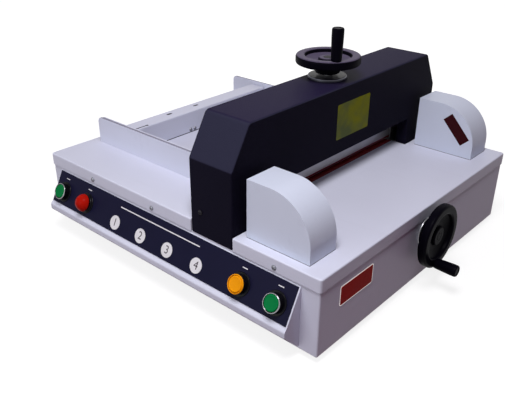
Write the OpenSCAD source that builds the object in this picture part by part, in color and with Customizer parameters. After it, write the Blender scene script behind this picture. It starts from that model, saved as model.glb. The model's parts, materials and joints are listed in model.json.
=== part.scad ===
// Electric table paper cutter. Millimetres, +Z up, -Y is the operator's side, -X the console's side.
// Origin: on the ground, under the middle of the whole part. The modules are drawn about the body's middle.

/* [Body] */
// Width of the body, left to right
body_w = 512; // [480:1:560]
// Depth of the body, front to back
body_d = 560; // [540:1:620]
// Height of the table above the underside of the body
body_h = 118; // [114:1:140]
// Height of the rubber feet
foot_h = 10; // [6:1:20]
// Radius of a foot
foot_r = 18; // [12:1:25]
// Distance of a foot's middle from the two walls beside it
foot_set = 45; // [30:1:80]
// Thickness of the steel sheet
sheet = 1.5; // [1:0.1:2]
// Height of the flange turned down round the table lids
flange_h = 19; // [17:1:24]
// Radius of the body's upright corners
corner_r = 4; // [3:0.5:8]

/* [Arch] */
// Distance from the body's front to the arch's front
arch_set = 144; // [140:1:160]
// Depth of the arch, front to back
arch_t = 76; // [74:1:90]
// Distance of the arch's flanks inside the body's flanks
arch_inset = 1; // [0.5:0.5:2]
// Height of the arch above the table
arch_h = 148; // [146:1:180]
// Width of the slanted shoulder
shoulder_w = 33; // [25:1:36]
// Height of the slanted shoulder
shoulder_h = 57; // [45:1:60]
// Rounding of the shoulder's corners
shoulder_r = 8; // [2:1:12]
// Thickness of the arch cover
arch_wall = 2.5; // [2:0.1:3]
// Thickness of the arch's rear panel
rear_panel_t = 2; // [1.5:0.1:3]
// Clear width between the arch's legs
throat_w = 354; // [340:1:358]
// Clear height under the arch
throat_h = 46; // [44:1:48]
// Depth of the turned-in edges round the throat
throat_lip = 18; // [10:1:20]
// Gap between the arch and the table lids
arch_gap = 1.5; // [1:0.1:2.5]

/* [Frame] */
// Gap between the columns and the clamp's ends
clamp_side_gap = 0.4; // [0.3:0.1:1]
// Gap between a column and the arch's flank
column_gap = 12.5; // [11:0.5:16]
// Distance of a column's inner face outside the throat
column_set = 7; // [5:1:9]
// Depth of a column, front to back
column_d = 35.7; // [34:0.1:37]
// Thickness of the bed under the table
bed_t = 18.5; // [16:0.5:20]
// Length of the bed in front of the knife
bed_front = 22; // [18:1:26]
// Height of the crossbeam
crossbeam_h = 43.5; // [40:0.5:44]
// Width of the cutting stick
stick_w = 13; // [10:0.5:16]
// Height of the cutting stick
stick_h = 8; // [6:0.5:10]

/* [Knife] */
// Distance from the arch's front to the knife's rear face
knife_set = 34; // [32:0.5:36]
// Thickness of the blade
blade_t = 5; // [4:0.5:6]
// Height of the blade
blade_h = 45; // [42:1:50]
// Length of the blade past the throat on each side
blade_lap = 10; // [4:1:11]
// Height of the blade's ground bevel
bevel_h = 12; // [8:1:16]
// Height of the blade inside the beam's rebate
blade_seat = 23; // [20:1:26]
// Thickness of the knife beam
beam_t = 11; // [10:0.5:12]
// Height of the knife beam
beam_h = 48; // [44:1:50]
// Gap between the knife beam's end and the arch's flank
beam_end_gap = 2.5; // [2.5:0.5:6]
// Height of the cutting edge above the table at rest
knife_open = 47.5; // [46:0.5:49]
// Depth of the cutting edge below the table at the end of the cut
knife_sink = 0.5; // [0.2:0.1:1]
// Sideways travel of the knife during the cut
knife_shift = 22; // [16:1:24]
// Radius of a guide roller
roller_r = 7.7; // [6:0.1:9]
// Length of a guide roller
roller_l = 11; // [8:1:14]
// Height of the guide rollers above the beam's lower edge
roller_z = 25; // [20:1:28]
// Clear space between moving pieces
move_gap = 0.3; // [0.3:0.05:0.5]

/* [Crank drive] */
// Distance of the crank shaft inside the right column
crank_in = 24; // [19:1:29]
// Height of the crank shaft above the tray's floor
crank_z = 53.5; // [52:0.5:56]
// Half of the crank's swing, in degrees
half_swing = 45; // [40:1:50]
// Radius of the crank shaft
shaft_r = 9; // [7:0.5:11]
// Thickness of the crank arm
crank_t = 7.5; // [6:0.5:9]
// Radius of the crank pin
crank_pin_r = 5; // [4:0.5:6]
// Radius of the crank roller
crank_roller_r = 8; // [7:0.5:10]
// Spare height on each side of the crank roller in the pull plate's slot
slot_play = 1.6; // [1.4:0.1:2.5]
// Thickness of the pull plate
pull_t = 8; // [6:0.5:9]
// Width of the pull plate's strap
strap_w = 42; // [36:1:42]
// Width of the metal round the pull plate's slot
slot_rim = 6.4; // [5:0.2:7]
// Diameter of the motor
motor_d = 58; // [50:1:60]
// Length of the motor
motor_l = 100; // [80:1:104]

/* [Clamp] */
// Gap between the knife and the clamp
clamp_gap = 1.5; // [1:0.1:2]
// Depth of the clamp's foot
clamp_d = 34; // [30:1:35]
// Height of the clamp
clamp_h = 50; // [48:1:52]
// Thickness of the clamp's foot
clamp_foot = 14; // [10:1:18]
// Thickness of the clamp's web
clamp_web = 14; // [12:1:16]
// Height of the clamp above the table at rest
clamp_rest = 2.5; // [2.3:0.1:4]
// Size of the chamfer along the clamp's front lower edge
clamp_relief = 4; // [2:0.5:6]
// Distance from the arch's front to the spindle
spindle_set = 46; // [45:0.5:47]
// Radius of the spindle
spindle_r = 7; // [6:0.5:7.5]
// Radius of the nut's sleeve
nut_r = 12; // [10:0.5:14]
// Length of the nut's sleeve
nut_l = 24; // [20:1:25]
// Radius of the nut's flange on top of the arch
nut_flange_r = 29; // [24:1:29]
// Thickness of the nut's flange
nut_flange_t = 4; // [3:0.5:5]
// Thickness of the keeper plate
keeper_t = 6; // [5:0.5:7]
// Clearance of a turning fit, on the radius
run_gap = 0.05; // [0.02:0.01:0.1]

/* [Handwheels] */
// Radius of a handwheel
wheel_r = 48; // [42:1:55]
// Width of the rim
rim_w = 14; // [11:1:16]
// Thickness of the rim
rim_t = 13; // [11:1:15]
// Radius of the hub behind the rim
hub_r = 18.5; // [16:0.5:21]
// Radius of the hub's front boss
hub_boss_r = 14.5; // [12:0.5:16]
// Length of the gauge wheel's hub behind the rim
gauge_hub_l = 10; // [8:1:14]
// Height of the clamp wheel's rim above the nut's flange at rest
wheel_rise = 17; // [15:1:20]
// Gap under the clamp wheel's hub when the clamp is down
hub_spare = 0.7; // [0.5:0.1:1.5]
// Depth of a shaft's end inside its hub
shaft_sink = 1; // [0.5:0.5:3]
// Distance of a grip's pin from the wheel's middle
grip_at = 39.5; // [37:0.5:42]
// Radius of a grip at its tip
grip_r = 8.8; // [7:0.1:10]
// Radius of a grip at its root
grip_root_r = 7.6; // [6.5:0.1:9]
// Length of the clamp wheel's grip
clamp_grip_l = 47; // [35:1:60]
// Length of the gauge wheel's grip
gauge_grip_l = 35; // [30:1:60]
// Radius of a grip's pin
grip_pin_r = 4; // [3:0.5:5]
// Direction of the clamp wheel's grip, in degrees
clamp_grip_turn = 232; // [0:1:359]
// Direction of the gauge wheel's grip, in degrees from the body's right
gauge_grip_turn = 256; // [0:1:359]

/* [Back gauge] */
// Height of the lead screw above the tray's floor
screw_z = 73.5; // [72:0.5:76]
// Radius of the lead screw
screw_r = 7; // [6:0.5:8]
// Radius of the lead screw's journals
journal_r = 6; // [5:0.5:6]
// Radius of the front bearing's flange
bearing_r = 23.5; // [18:0.5:24]
// Distance from the body's back to the gauge's front face at rest
gauge_set = 103; // [100:1:110]
// Height of the back gauge above the table
gauge_h = 38.5; // [34:0.5:42]
// Depth of the back gauge's top
gauge_d = 30; // [26:1:34]
// Thickness of the back gauge
gauge_t = 3; // [2:0.5:4]
// Length of a slot in the back gauge's top
gauge_slot_l = 12; // [8:1:20]
// Width of a slot in the back gauge's top
gauge_slot_w = 5; // [4:0.5:8]
// Distance between the slots in the back gauge's top
gauge_slot_step = 63.5; // [50:0.5:80]
// Length of the slit beside the fold at the back gauge's left end
fold_slit_l = 34; // [20:1:45]
// Width of the slit beside the fold
fold_slit_w = 1.6; // [1:0.2:2.4]
// Gap between the back gauge's ends and the fences
gauge_end_gap = 3.5; // [2:0.5:5]
// Gap under the back gauge
gauge_lift = 0.5; // [0.3:0.1:1]
// Gap between the back gauge and the arch at the front of its travel
gauge_stop = 10; // [9.5:0.5:40]
// Backward travel of the back gauge from rest
gauge_back = 40; // [20:1:42]
// Radius of a rail
rail_r = 5; // [4:0.5:6]
// Distance of the rails from the middle
rail_x = 45; // [38:1:60]
// Width of the slot in the rear table
slot_w = 20; // [16:1:24]
// Distance of a fence's outer face inside the throat's side
fence_in = 7.5; // [5:0.5:12]
// Thickness of a fence
fence_t = 3; // [2:0.5:4]
// Height of a fence
fence_h = 45; // [40:1:50]
// Distance from the body's back to a fence's end
fence_set = 18; // [10:1:30]
// Radius of a fence's rear upper corner
fence_r = 9; // [2:1:15]

/* [Light barrier] */
// Width of a light post
post_w = 53; // [45:1:55]
// Depth of a light post
post_d = 102.5; // [98:0.5:106]
// Height of a light post
post_h = 83; // [80:1:95]
// Radius of a light post's rounded shoulder
post_r = 64; // [40:1:72]
// Thickness of a light post's wall
post_wall = 2; // [1.5:0.1:3]
// Distance of a light post inside the body's flank
post_inset = 15; // [12:1:18]
// Distance from the body's front to a light post
post_set = 29; // [24:1:32]
// Length of a window
window_l = 49; // [40:1:55]
// Width of a window
window_w = 16; // [12:1:18]
// Lean of a window, in degrees
window_lean = 47; // [35:1:55]
// Distance from a post's front to its window's middle
window_y = 31.5; // [30:0.5:36]
// Height of a window's middle above the table
window_z = 44.5; // [42:0.5:48]

/* [Console] */
// Distance from the body's front to the console
console_front = 30; // [20:1:40]
// Distance from the body's back to the console
console_back = 24; // [18:1:30]
// Distance of the console's upper edge below the table
console_drop = 22; // [20:1:24]
// Outward run of the console's sloped face
slope_run = 26; // [22:0.5:32]
// Fall of the console's sloped face
slope_fall = 50; // [46:1:54]
// Distance by which the nose stands out past the slope
nose_out = 4; // [3:0.5:6]
// Height of the nose
nose_h = 13; // [11:1:15]
// Height of the console's lower edge above the underside of the body
console_foot = 4; // [3:1:10]
// Thickness of the console's housing
console_wall = 1.5; // [1:0.1:2]
// Thickness of the overlay
overlay_t = 0.8; // [0.5:0.1:1.2]
// Bare margin round the overlay
overlay_edge = 2; // [1:0.5:4]
// Distance of the buttons from the slope's upper edge
button_x = 33; // [30:0.5:36]
// Distance of the end buttons from the console's ends
button_end = 26; // [22:0.5:30]
// Distance between the two buttons of a pair
button_step = 60; // [48:1:70]
// Radius of a button's cap
cap_r = 11.2; // [10:0.1:11.6]
// Radius of a button's stem
stem_r = 9; // [7:0.1:9.2]
// Radius of a button's threaded barrel
barrel_r = 11.1; // [10.5:0.1:11.5]
// Radius of a button's bezel
bezel_r = 13.4; // [13:0.1:15]
// Radius of a bezel's collar on the overlay
collar_r = 16.4; // [15.5:0.1:17.5]
// Height of a bezel's collar
collar_h = 1.6; // [1:0.1:2.5]
// Height of a bezel above the overlay
bezel_h = 8; // [6:0.5:10]
// Height of a cap above the bezel
cap_h = 3.5; // [3:0.1:5]
// Height of the stop button's bezel above the overlay
stop_bezel_h = 3; // [2.5:0.1:3.5]
// Radius of the stop button's domed head
dome_r = 14.4; // [14:0.1:15]
// Height of the dome's middle above the slope
dome_mid = 5.2; // [4:0.1:6]
// Travel of a button
button_travel = 3; // [2:0.5:3]

/* [Small pieces] */
// Radius of a cover screw's head
screw_head_r = 3.6; // [3:0.1:5]
// Radius of a cover screw's shank
shank_r = 2; // [1.5:0.1:2.5]
// Distance of the lids' screws below the table
lid_screw_drop = 13; // [10:0.5:14]
// Distance of the rear lid's last screw from the body's back
lid_screw_rear = 114; // [60:1:130]
// Distance of the rear lid's first screw behind the arch
lid_screw_mid = 82.5; // [40:0.5:100]
// Distance of the front lid's screw from the body's front
lid_screw_front = 72; // [40:1:90]
// Spare radius in a fastener's hole
hole_gap = 0.1; // [0.05:0.05:0.3]
// Height of the power inlet's middle above the underside of the body
inlet_z = 48; // [40:1:60]
// Distance of the power inlet from the middle of the body
inlet_x = 150; // [100:1:180]

/* [Hidden] */
$fn = 48;

// Planes of the body
side_x = body_w / 2;
front_y = -body_d / 2;
rear_y = body_d / 2;
table_z = foot_h + body_h;
under_z = table_z - sheet;
seam_z = table_z - flange_h;
floor_z = foot_h + sheet;
tray_x = side_x - sheet;
tray_y = rear_y - sheet;
// How far a cut runs past the face that it opens
cut = 1;

// Planes of the arch
arch_y0 = front_y + arch_set;
arch_y1 = arch_y0 + arch_t;
panel_y = arch_y1 - rear_panel_t;
arch_x = side_x - arch_inset;
arch_z1 = table_z + arch_h;
throat_x = throat_w / 2;
throat_z = table_z + throat_h;
spindle_y = arch_y0 + spindle_set;
lid_y0 = arch_y0 - arch_gap;
lid_y1 = arch_y1 + arch_gap;
tongue_x = throat_x - arch_gap;

// Knife, at rest at the top of its travel
knife_y = arch_y0 + knife_set;
edge_z = table_z + knife_open;
knife_drop = knife_open + knife_sink;
knife_x = knife_shift / 2;
blade_l = throat_w + 2 * blade_lap;
beam_l = 2 * (arch_x - arch_wall - beam_end_gap - knife_x);
beam_z0 = edge_z + blade_h - blade_seat;
beam_z1 = beam_z0 + beam_h;
beam_y = knife_y - beam_t;
rollers_z = beam_z0 + roller_z;
blade_y = knife_y - blade_t;
blade_screw_r = 4;
blade_screw_step = 62;

// Frame
column_x0 = throat_x + column_set;
column_x1 = arch_x - arch_wall - column_gap;
roller_x = (column_x0 + column_x1) / 2;
column_y0 = knife_y + move_gap;
column_y1 = column_y0 + column_d;
roof_z = arch_z1 - arch_wall;
bed_z0 = under_z - bed_t;
bed_y0 = knife_y - bed_front;
stick_y = knife_y - 2;
crossbeam_z0 = roof_z - crossbeam_h;
crossbeam_y0 = knife_y + 2.5;
nose_x = 32;
nose_z = beam_z1 + 5;
nose_y = spindle_y - 26;
column_shoulder_z = arch_z1 - shoulder_h + arch_wall;

// Crank drive
crank_r = knife_drop / (2 * sin(half_swing));
crank_x = column_x0 - crank_in;
shaft_z = floor_z + crank_z;
pull_y0 = beam_y - pull_t;
crank_y0 = beam_y + 1;
crank_y1 = crank_y0 + crank_t;
gearbox_y0 = crank_y1 + 4.5;
gearbox_reach = 35;
gearbox_x0 = crank_x - gearbox_reach;
gearbox_z1 = shaft_z + 30;
shaft_in = 36;
gearbox_d = 50;
motor_z = floor_z + motor_d / 2 + 1;
motor_y = gearbox_y0 + gearbox_d / 2;
pin_x = crank_x + crank_r * cos(half_swing);
pin_z = shaft_z + crank_r * sin(half_swing);
// Angle at which the crank roller reaches furthest along the slot
far_turn = -asin(min(1, knife_shift / (2 * crank_r * half_swing * PI / 180)));
far_share = (half_swing - far_turn) / (2 * half_swing);
slot_far_x = crank_x + crank_r * cos(far_turn) + knife_shift * far_share;
slot_half = crank_roller_r + slot_play;
pull_half = slot_half + slot_rim;
beam_x0 = knife_x - beam_l / 2;
beam_x1 = knife_x + beam_l / 2;
beam_cut_w = 18;
beam_cut_h = 32;

// Clamp and spindle
clamp_y0 = knife_y + clamp_gap;
clamp_y1 = clamp_y0 + clamp_d;
clamp_x = column_x0 - clamp_side_gap;
clamp_z0 = table_z + clamp_rest;
clamp_z1 = clamp_z0 + clamp_h;
clamp_rib_step = 2 * (clamp_x - 8.6) / 5;
nut_top = arch_z1 + nut_flange_t;
neck_r = 5;
button_l = 14;
boss_x = 22;
clamp_rim_z = nut_top + wheel_rise;
clamp_hub_l = wheel_rise - clamp_rest - hub_spare;
hub_front = 9;

// Back gauge
screw_axis_z = floor_z + screw_z;
gauge_y = rear_y - gauge_set;
gauge_forward = gauge_y - arch_y1 - gauge_stop;
fence_x = throat_x - fence_in - fence_t;
gauge_x = fence_x - gauge_end_gap;
gauge_slot_x = -3;
gauge_z0 = table_z + gauge_lift;
gauge_z1 = table_z + gauge_h;
rail_z = under_z - 12.5;
carriage_y0 = gauge_y + gauge_t;
carriage_l = 24;
carriage_x = rail_x + 15;
stem_x = slot_w / 2 - 1.5;
foot_x = 40;
foot_top = table_z + 26;
nut_out_r = 14;
rear_bearing_y = carriage_y0 + carriage_l + gauge_back + 6;
rear_bearing_t = 9;
front_plate_t = 3;
gauge_hub_y = front_y - sheet - 0.5;
gauge_rim_y = gauge_hub_y - gauge_hub_l;

// Light posts
post_x1 = side_x - post_inset;
post_x0 = post_x1 - post_w;
post_y0 = front_y + post_set;

// Console
console_y0 = front_y + console_front;
console_y1 = rear_y - console_back;
slope_top_z = table_z - console_drop;
slope_len = norm([slope_run, slope_fall]);
slope_lean = atan2(slope_fall, slope_run);
button_ys = [console_y1 - button_end, console_y1 - button_end - button_step,
    console_y0 + button_end + button_step, console_y0 + button_end];
barrel_l = 18;
cap_gap = 0.4;
cap_seat = overlay_t + 0.6;
cap_foot = button_travel + move_gap - barrel_l;
cap_under = cap_seat + button_travel + move_gap;
cap_top = overlay_t + bezel_h + cap_h;
dome_under = overlay_t + stop_bezel_h + button_travel + move_gap;
dome_edge = acos((dome_under - dome_mid) / dome_r);

// Screws in the lids' flanges
lid_screw_ys = [rear_y - lid_screw_rear, lid_y1 + lid_screw_mid, front_y + lid_screw_front];
lid_screw_z = table_z - lid_screw_drop;
screw_head_h = 2.4;

// Power inlet
inlet_w = 48;
inlet_h = 26;
inlet_body_w = 30;
inlet_body_h = 22;
inlet_flange = 3;
inlet_mid_z = foot_h + inlet_z;

// Reach of the whole part on each side, and the shift that centres it
reach_left = -tray_x - button_x * cos(slope_lean) - dome_mid * sin(slope_lean) - dome_r;
reach_right = side_x + screw_head_h;
reach_front = gauge_rim_y - rim_t - gauge_grip_l;
reach_rear = tray_y + inlet_flange;
middle = [-(reach_left + reach_right) / 2, -(reach_front + reach_rear) / 2, 0];

module placed() {
    translate(middle) children();
}

// A box between two corners, given as ranges
module block(x, y, z) {
    translate([x[0], y[0], z[0]])
        cube([x[1] - x[0], y[1] - y[0], z[1] - z[0]]);
}

// A flat shape drawn in X and Z, carried along Y
module along_y(y0, y1) {
    translate([0, y1, 0]) rotate([90, 0, 0]) linear_extrude(y1 - y0) children();
}

// A flat shape drawn in Y and Z, carried along X
module along_x(x0, x1) {
    translate([x0, 0, 0]) rotate([90, 0, 90]) linear_extrude(x1 - x0) children();
}

// A flat shape drawn in X and Y, carried along Z
module along_z(z0, z1) {
    translate([0, 0, z0]) linear_extrude(z1 - z0) children();
}

// A round bar along Y
module rod_y(x, z, r, y0, y1) {
    translate([x, y1, z]) rotate([90, 0, 0]) cylinder(r = r, h = y1 - y0);
}

module both_sides() {
    children();
    mirror([1, 0, 0]) children();
}

function unit(v) = v / norm(v);
function left_of(v) = [-v[1], v[0]];

// Points of an anticlockwise outline moved inwards by t
function inset(p, t) = [for (i = [0 : len(p) - 1])
    let (a = p[(i + len(p) - 1) % len(p)],
         c = p[(i + 1) % len(p)],
         n = left_of(unit(p[i] - a)),
         m = left_of(unit(c - p[i])))
    p[i] + t * (n + m) / (1 + n * m)];

// Points of an outline with each corner rounded by its own radius
function round_corners(p, r, steps = 6) = [for (i = [0 : len(p) - 1])
    let (a = p[(i + len(p) - 1) % len(p)],
         b = p[i],
         c = p[(i + 1) % len(p)],
         u = unit(a - b),
         w = unit(c - b),
         half = acos(u * w) / 2,
         middle = b + unit(u + w) * r[i] / sin(half),
         from = b + u * r[i] / tan(half) - middle,
         to = b + w * r[i] / tan(half) - middle,
         a0 = atan2(from[1], from[0]),
         turn = atan2(to[1], to[0]) - a0,
         sweep = turn > 180 ? turn - 360 : turn < -180 ? turn + 360 : turn)
    each r[i] == 0 ? [b] : [for (k = [0 : steps])
        middle + r[i] * [cos(a0 + sweep * k / steps), sin(a0 + sweep * k / steps)]]];

// A slot with round ends between two points
module slot(p, q, r) {
    translate(p) circle(r);
    translate(q) circle(r);
    translate((p + q) / 2)
        rotate(atan2(q[1] - p[1], q[0] - p[0]))
            square([norm(q - p), 2 * r], center = true);
}

// A rectangle with round corners, centred
module rounded(w, d, r) {
    square([w - 2 * r, d], center = true);
    square([w, d - 2 * r], center = true);
    for (x = [-1, 1], y = [-1, 1])
        translate([x * (w / 2 - r), y * (d / 2 - r)]) circle(r);
}

// Places on the body's flanks where a lid screw sits
module at_lid_screws() {
    both_sides() for (y = lid_screw_ys)
        translate([side_x, y, lid_screw_z]) rotate([0, 90, 0]) children();
}

// Shank of a cover screw, from its head's seat inwards
module screw_hole() {
    translate([0, 0, -12]) cylinder(r = shank_r + hole_gap, h = 12 + cut);
}

// A cover screw: domed head with a cross recess, and its shank
module cover_screw(length) {
    difference() {
        rotate_extrude() polygon([[0, 0], [screw_head_r, 0], [screw_head_r, 1],
            [screw_head_r * 0.6, screw_head_h - 0.2], [0, screw_head_h]]);
        for (turn = [0, 90])
            rotate(turn) translate([0, 0, 2]) cube([screw_head_r, 0.9, 1.6], center = true);
    }
    translate([0, 0, -length]) cylinder(r = shank_r, h = length);
}

// Outline of the arch without its throat, down to z
function arch_roof(z) = [[-arch_x, z], [arch_x, z], [arch_x, arch_z1 - shoulder_h],
    [arch_x - shoulder_w, arch_z1], [shoulder_w - arch_x, arch_z1], [-arch_x, arch_z1 - shoulder_h]];
roof_rounds = [0, 0, 1, 1, 1, 1];

// The arch's outline as it stands on the table, with its throat
module arch_face() {
    difference() {
        polygon(round_corners(arch_roof(seam_z), shoulder_r * roof_rounds));
        translate([-throat_x, seam_z - cut]) square([throat_w, throat_h + flange_h + cut]);
    }
}

// Pressed tray with four walls: carries everything
module base_tray() color("gainsboro") placed() difference() {
    along_z(foot_h, under_z) polygon(round_corners([[-tray_x, -tray_y], [tray_x, -tray_y],
        [tray_x, tray_y], [-tray_x, tray_y]], (corner_r - sheet) * [1, 1, 1, 1]));
    along_z(floor_z, table_z)
        square([2 * (tray_x - sheet), 2 * (tray_y - sheet)], center = true);
    // Notches where the arch's legs stand
    both_sides() block([tray_x - 2 * sheet, side_x], [lid_y0, lid_y1], [seam_z, table_z]);
    at_lid_screws() screw_hole();
    // Front bearing, power inlet and switches
    rod_y(0, screw_axis_z, journal_r + 7 + hole_gap, front_y, front_y + 8);
    block([inlet_x - inlet_body_w / 2, inlet_x + inlet_body_w / 2], [tray_y - 5, rear_y],
        [inlet_mid_z - inlet_body_h / 2, inlet_mid_z + inlet_body_h / 2]);
    for (y = button_ys)
        block([-side_x, -tray_x + 5], [y - 20, y + 20],
            [slope_top_z - slope_fall - 16, slope_top_z - 12]);
    // Cooling slots beside the motor
    for (i = [0 : 7])
        block([tray_x - 5, side_x], [-10 + 16 * i, -4 + 16 * i], [floor_z + 20, floor_z + 60]);
}

module foot() {
    rotate_extrude() polygon([[0, 2], [foot_r * 0.5, 2], [foot_r * 0.6, 0], [foot_r * 0.94, 0],
        [foot_r, 1.5], [foot_r * 0.86, foot_h], [0, foot_h]]);
}

module feet() color("dimgray") placed()
    for (x = [-1, 1], y = [-1, 1])
        translate([x * (side_x - foot_set), y * (rear_y - foot_set), 0]) foot();

// One table lid between two depths, its flange turned down on three sides
module lid(y_out, y_in) {
    corners = [[-side_x, y_in], [-side_x, y_out], [side_x, y_out], [side_x, y_in]];
    order = y_out < y_in ? corners : [for (i = [3 : -1 : 0]) corners[i]];
    inner = [[-tray_x, y_in + sign(y_in - y_out) * cut], [-tray_x, y_out + sign(y_in - y_out) * sheet],
        [tray_x, y_out + sign(y_in - y_out) * sheet], [tray_x, y_in + sign(y_in - y_out) * cut]];
    difference() {
        along_z(seam_z, table_z) polygon(round_corners(order, corner_r * [0, 1, 1, 0]));
        along_z(seam_z - cut, under_z) polygon(round_corners(y_out < y_in ? inner :
            [for (i = [3 : -1 : 0]) inner[i]], (corner_r - sheet) * [0, 1, 1, 0]));
        at_lid_screws() screw_hole();
    }
}

// Front lid with its tongue up to the cutting stick
module front_table() color("whitesmoke") placed() {
    lid(front_y, lid_y0);
    block([-tongue_x, tongue_x], [lid_y0 - cut, stick_y - stick_w / 2], [under_z, table_z]);
}

// Rear lid with its tongue, and the slot that the back gauge's stem runs in
module rear_table() color("whitesmoke") placed() difference() {
    union() {
        lid(rear_y, lid_y1);
        block([-tongue_x, tongue_x], [stick_y + stick_w / 2, lid_y1 + cut], [under_z, table_z]);
    }
    along_z(under_z - cut, table_z + cut)
        slot([0, carriage_y0 - gauge_forward], [0, carriage_y0 + carriage_l + gauge_back],
            slot_w / 2);
}

module table_screws() color("silver") placed() at_lid_screws() cover_screw(6);

// Outline of the console, drawn in X and Z, with its wall side moved by reach
function console_outline(reach) = [[-tray_x + reach, slope_top_z],
    [-tray_x - slope_run, slope_top_z - slope_fall],
    [-tray_x - slope_run - nose_out, slope_top_z - slope_fall - nose_out],
    [-tray_x - slope_run - nose_out, slope_top_z - slope_fall - nose_h],
    [-tray_x + reach, foot_h + console_foot]];
console_rounds = [0, 2, 4, 5, 0];

// Flat frame on the console's slope: X runs down it, Z out of it
module on_slope() {
    translate([-tray_x, 0, slope_top_z]) rotate([0, -slope_lean, 0]) rotate([0, 0, 180]) children();
}

// Each button's place on the slope
module at_buttons(ys = button_ys) {
    on_slope() for (y = ys) translate([button_x, -y, 0]) children();
}

// Sheet housing of the console, open towards the tray
module console_shell() color("gainsboro") placed() difference() {
    along_y(console_y0, console_y1)
        polygon(round_corners(console_outline(0), console_rounds));
    along_y(console_y0 + console_wall, console_y1 - console_wall)
        polygon(round_corners(inset(console_outline(3 * console_wall), console_wall),
            0.7 * console_rounds));
    at_buttons() cylinder(r = barrel_r + hole_gap, h = 60, center = true);
}

module console_panel() color("midnightblue") placed() difference() {
    on_slope() translate([overlay_edge, -console_y1 + overlay_edge, 0])
        cube([slope_len - 2 * overlay_edge, console_y1 - console_y0 - 2 * overlay_edge, overlay_t]);
    at_buttons() cylinder(r = barrel_r + hole_gap, h = 60, center = true);
}

// A bezel's barrel, its collar on the overlay and its ring, with the ring's inner outline from the top down
module bezel(height, inner) {
    rotate_extrude() polygon(concat([[stem_r + cap_gap, -barrel_l], [barrel_r, -barrel_l],
        [barrel_r, overlay_t], [collar_r, overlay_t], [collar_r - 0.6, overlay_t + collar_h],
        [bezel_r, overlay_t + collar_h], [bezel_r, overlay_t + height - 1],
        [bezel_r - 1, overlay_t + height]], inner));
}

// Tall bezels that the flat caps sink into, and the low one under the stop button's head
module button_bezels() color("silver") placed() {
    at_buttons([button_ys[0], button_ys[2], button_ys[3]])
        bezel(bezel_h, [[cap_r + cap_gap, overlay_t + bezel_h], [cap_r + cap_gap, cap_seat],
            [stem_r + cap_gap, cap_seat]]);
    at_buttons([button_ys[1]]) bezel(stop_bezel_h, [[stem_r + cap_gap, overlay_t + stop_bezel_h]]);
}

module switch_blocks() color("dimgray") placed() at_buttons()
    translate([0, 0, -barrel_l - 20]) linear_extrude(20) rounded(28, 28, 2);

// A button's flat cap in its bezel, on its stem
module button_cap() {
    rotate_extrude() polygon([[0, cap_foot], [stem_r, cap_foot], [stem_r, cap_under],
        [cap_r, cap_under], [cap_r, cap_top - 1.8], [cap_r - 1, cap_top - 0.6], [cap_r * 0.7, cap_top],
        [0, cap_top]]);
}

// The stop button's domed head above its bezel, on its stem
module stop_cap() {
    rotate_extrude() polygon(concat([[0, cap_foot], [stem_r, cap_foot], [stem_r, dome_under]],
        [for (k = [8:-1:0]) [dome_r * sin(dome_edge * k / 8), dome_mid + dome_r * cos(dome_edge * k / 8)]]));
}

module rear_green_button() color("green") placed() at_buttons([button_ys[0]]) button_cap();
module red_button() color("red") placed() at_buttons([button_ys[1]]) stop_cap();
module amber_button() color("orange") placed() at_buttons([button_ys[2]]) button_cap();
module front_green_button() color("green") placed() at_buttons([button_ys[3]]) button_cap();

// Thick bed between the columns, with the groove of the cutting stick
module bed() color("slategray") placed() difference() {
    block([-column_x0, column_x0], [bed_y0, column_y1 + 2], [bed_z0, under_z]);
    block([-column_x0 - cut, column_x0 + cut],
        [stick_y - stick_w / 2, stick_y + stick_w / 2], [table_z - stick_h, table_z]);
}

// Plastic stick that the edge lands in, with the kerf it wears
module cutting_stick() color("darkred") placed() difference() {
    block([-tongue_x, tongue_x], [stick_y - stick_w / 2, stick_y + stick_w / 2],
        [table_z - stick_h, table_z]);
    block([-tongue_x - cut, tongue_x + cut], [knife_y - 2.5, knife_y + 0.7],
        [table_z - knife_sink - 1, table_z + cut]);
}

// Upright column with the groove of its guide roller, which runs down from x by shift
module column(x, shift) {
    along_y(column_y0 + roller_l + move_gap, column_y1) column_face();
    difference() {
        along_y(column_y0, column_y0 + roller_l + move_gap) column_face();
        along_y(column_y0 - cut, column_y1)
            slot([x, rollers_z], [x + shift, rollers_z - knife_drop], roller_r + move_gap);
    }
}

module column_face() {
    polygon([[column_x0, floor_z], [column_x1, floor_z], [column_x1, column_shoulder_z],
        [column_x1 - shoulder_w * 0.72, roof_z], [column_x0, roof_z]]);
}

// On both sides the groove leans the same way, so the left one is drawn with the other sign
module right_column() color("slategray") placed() column(knife_x + roller_x, -knife_shift);
module left_column() color("slategray") placed() mirror([1, 0, 0]) column(roller_x - knife_x, knife_shift);

// Beam between the columns, thickened in the middle to hold the clamp's nut
module crossbeam() color("slategray") placed() difference() {
    union() {
        block([-column_x0, column_x0], [crossbeam_y0, column_y1], [crossbeam_z0, roof_z]);
        block([-nose_x, nose_x], [nose_y, crossbeam_y0 + cut], [nose_z, roof_z]);
    }
    translate([0, spindle_y, crossbeam_z0 - cut])
        cylinder(r = spindle_r + 2 * move_gap, h = crossbeam_h + 2 * cut);
    translate([0, spindle_y, arch_z1 - nut_l]) cylinder(r = nut_r + hole_gap, h = nut_l);
}

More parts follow.
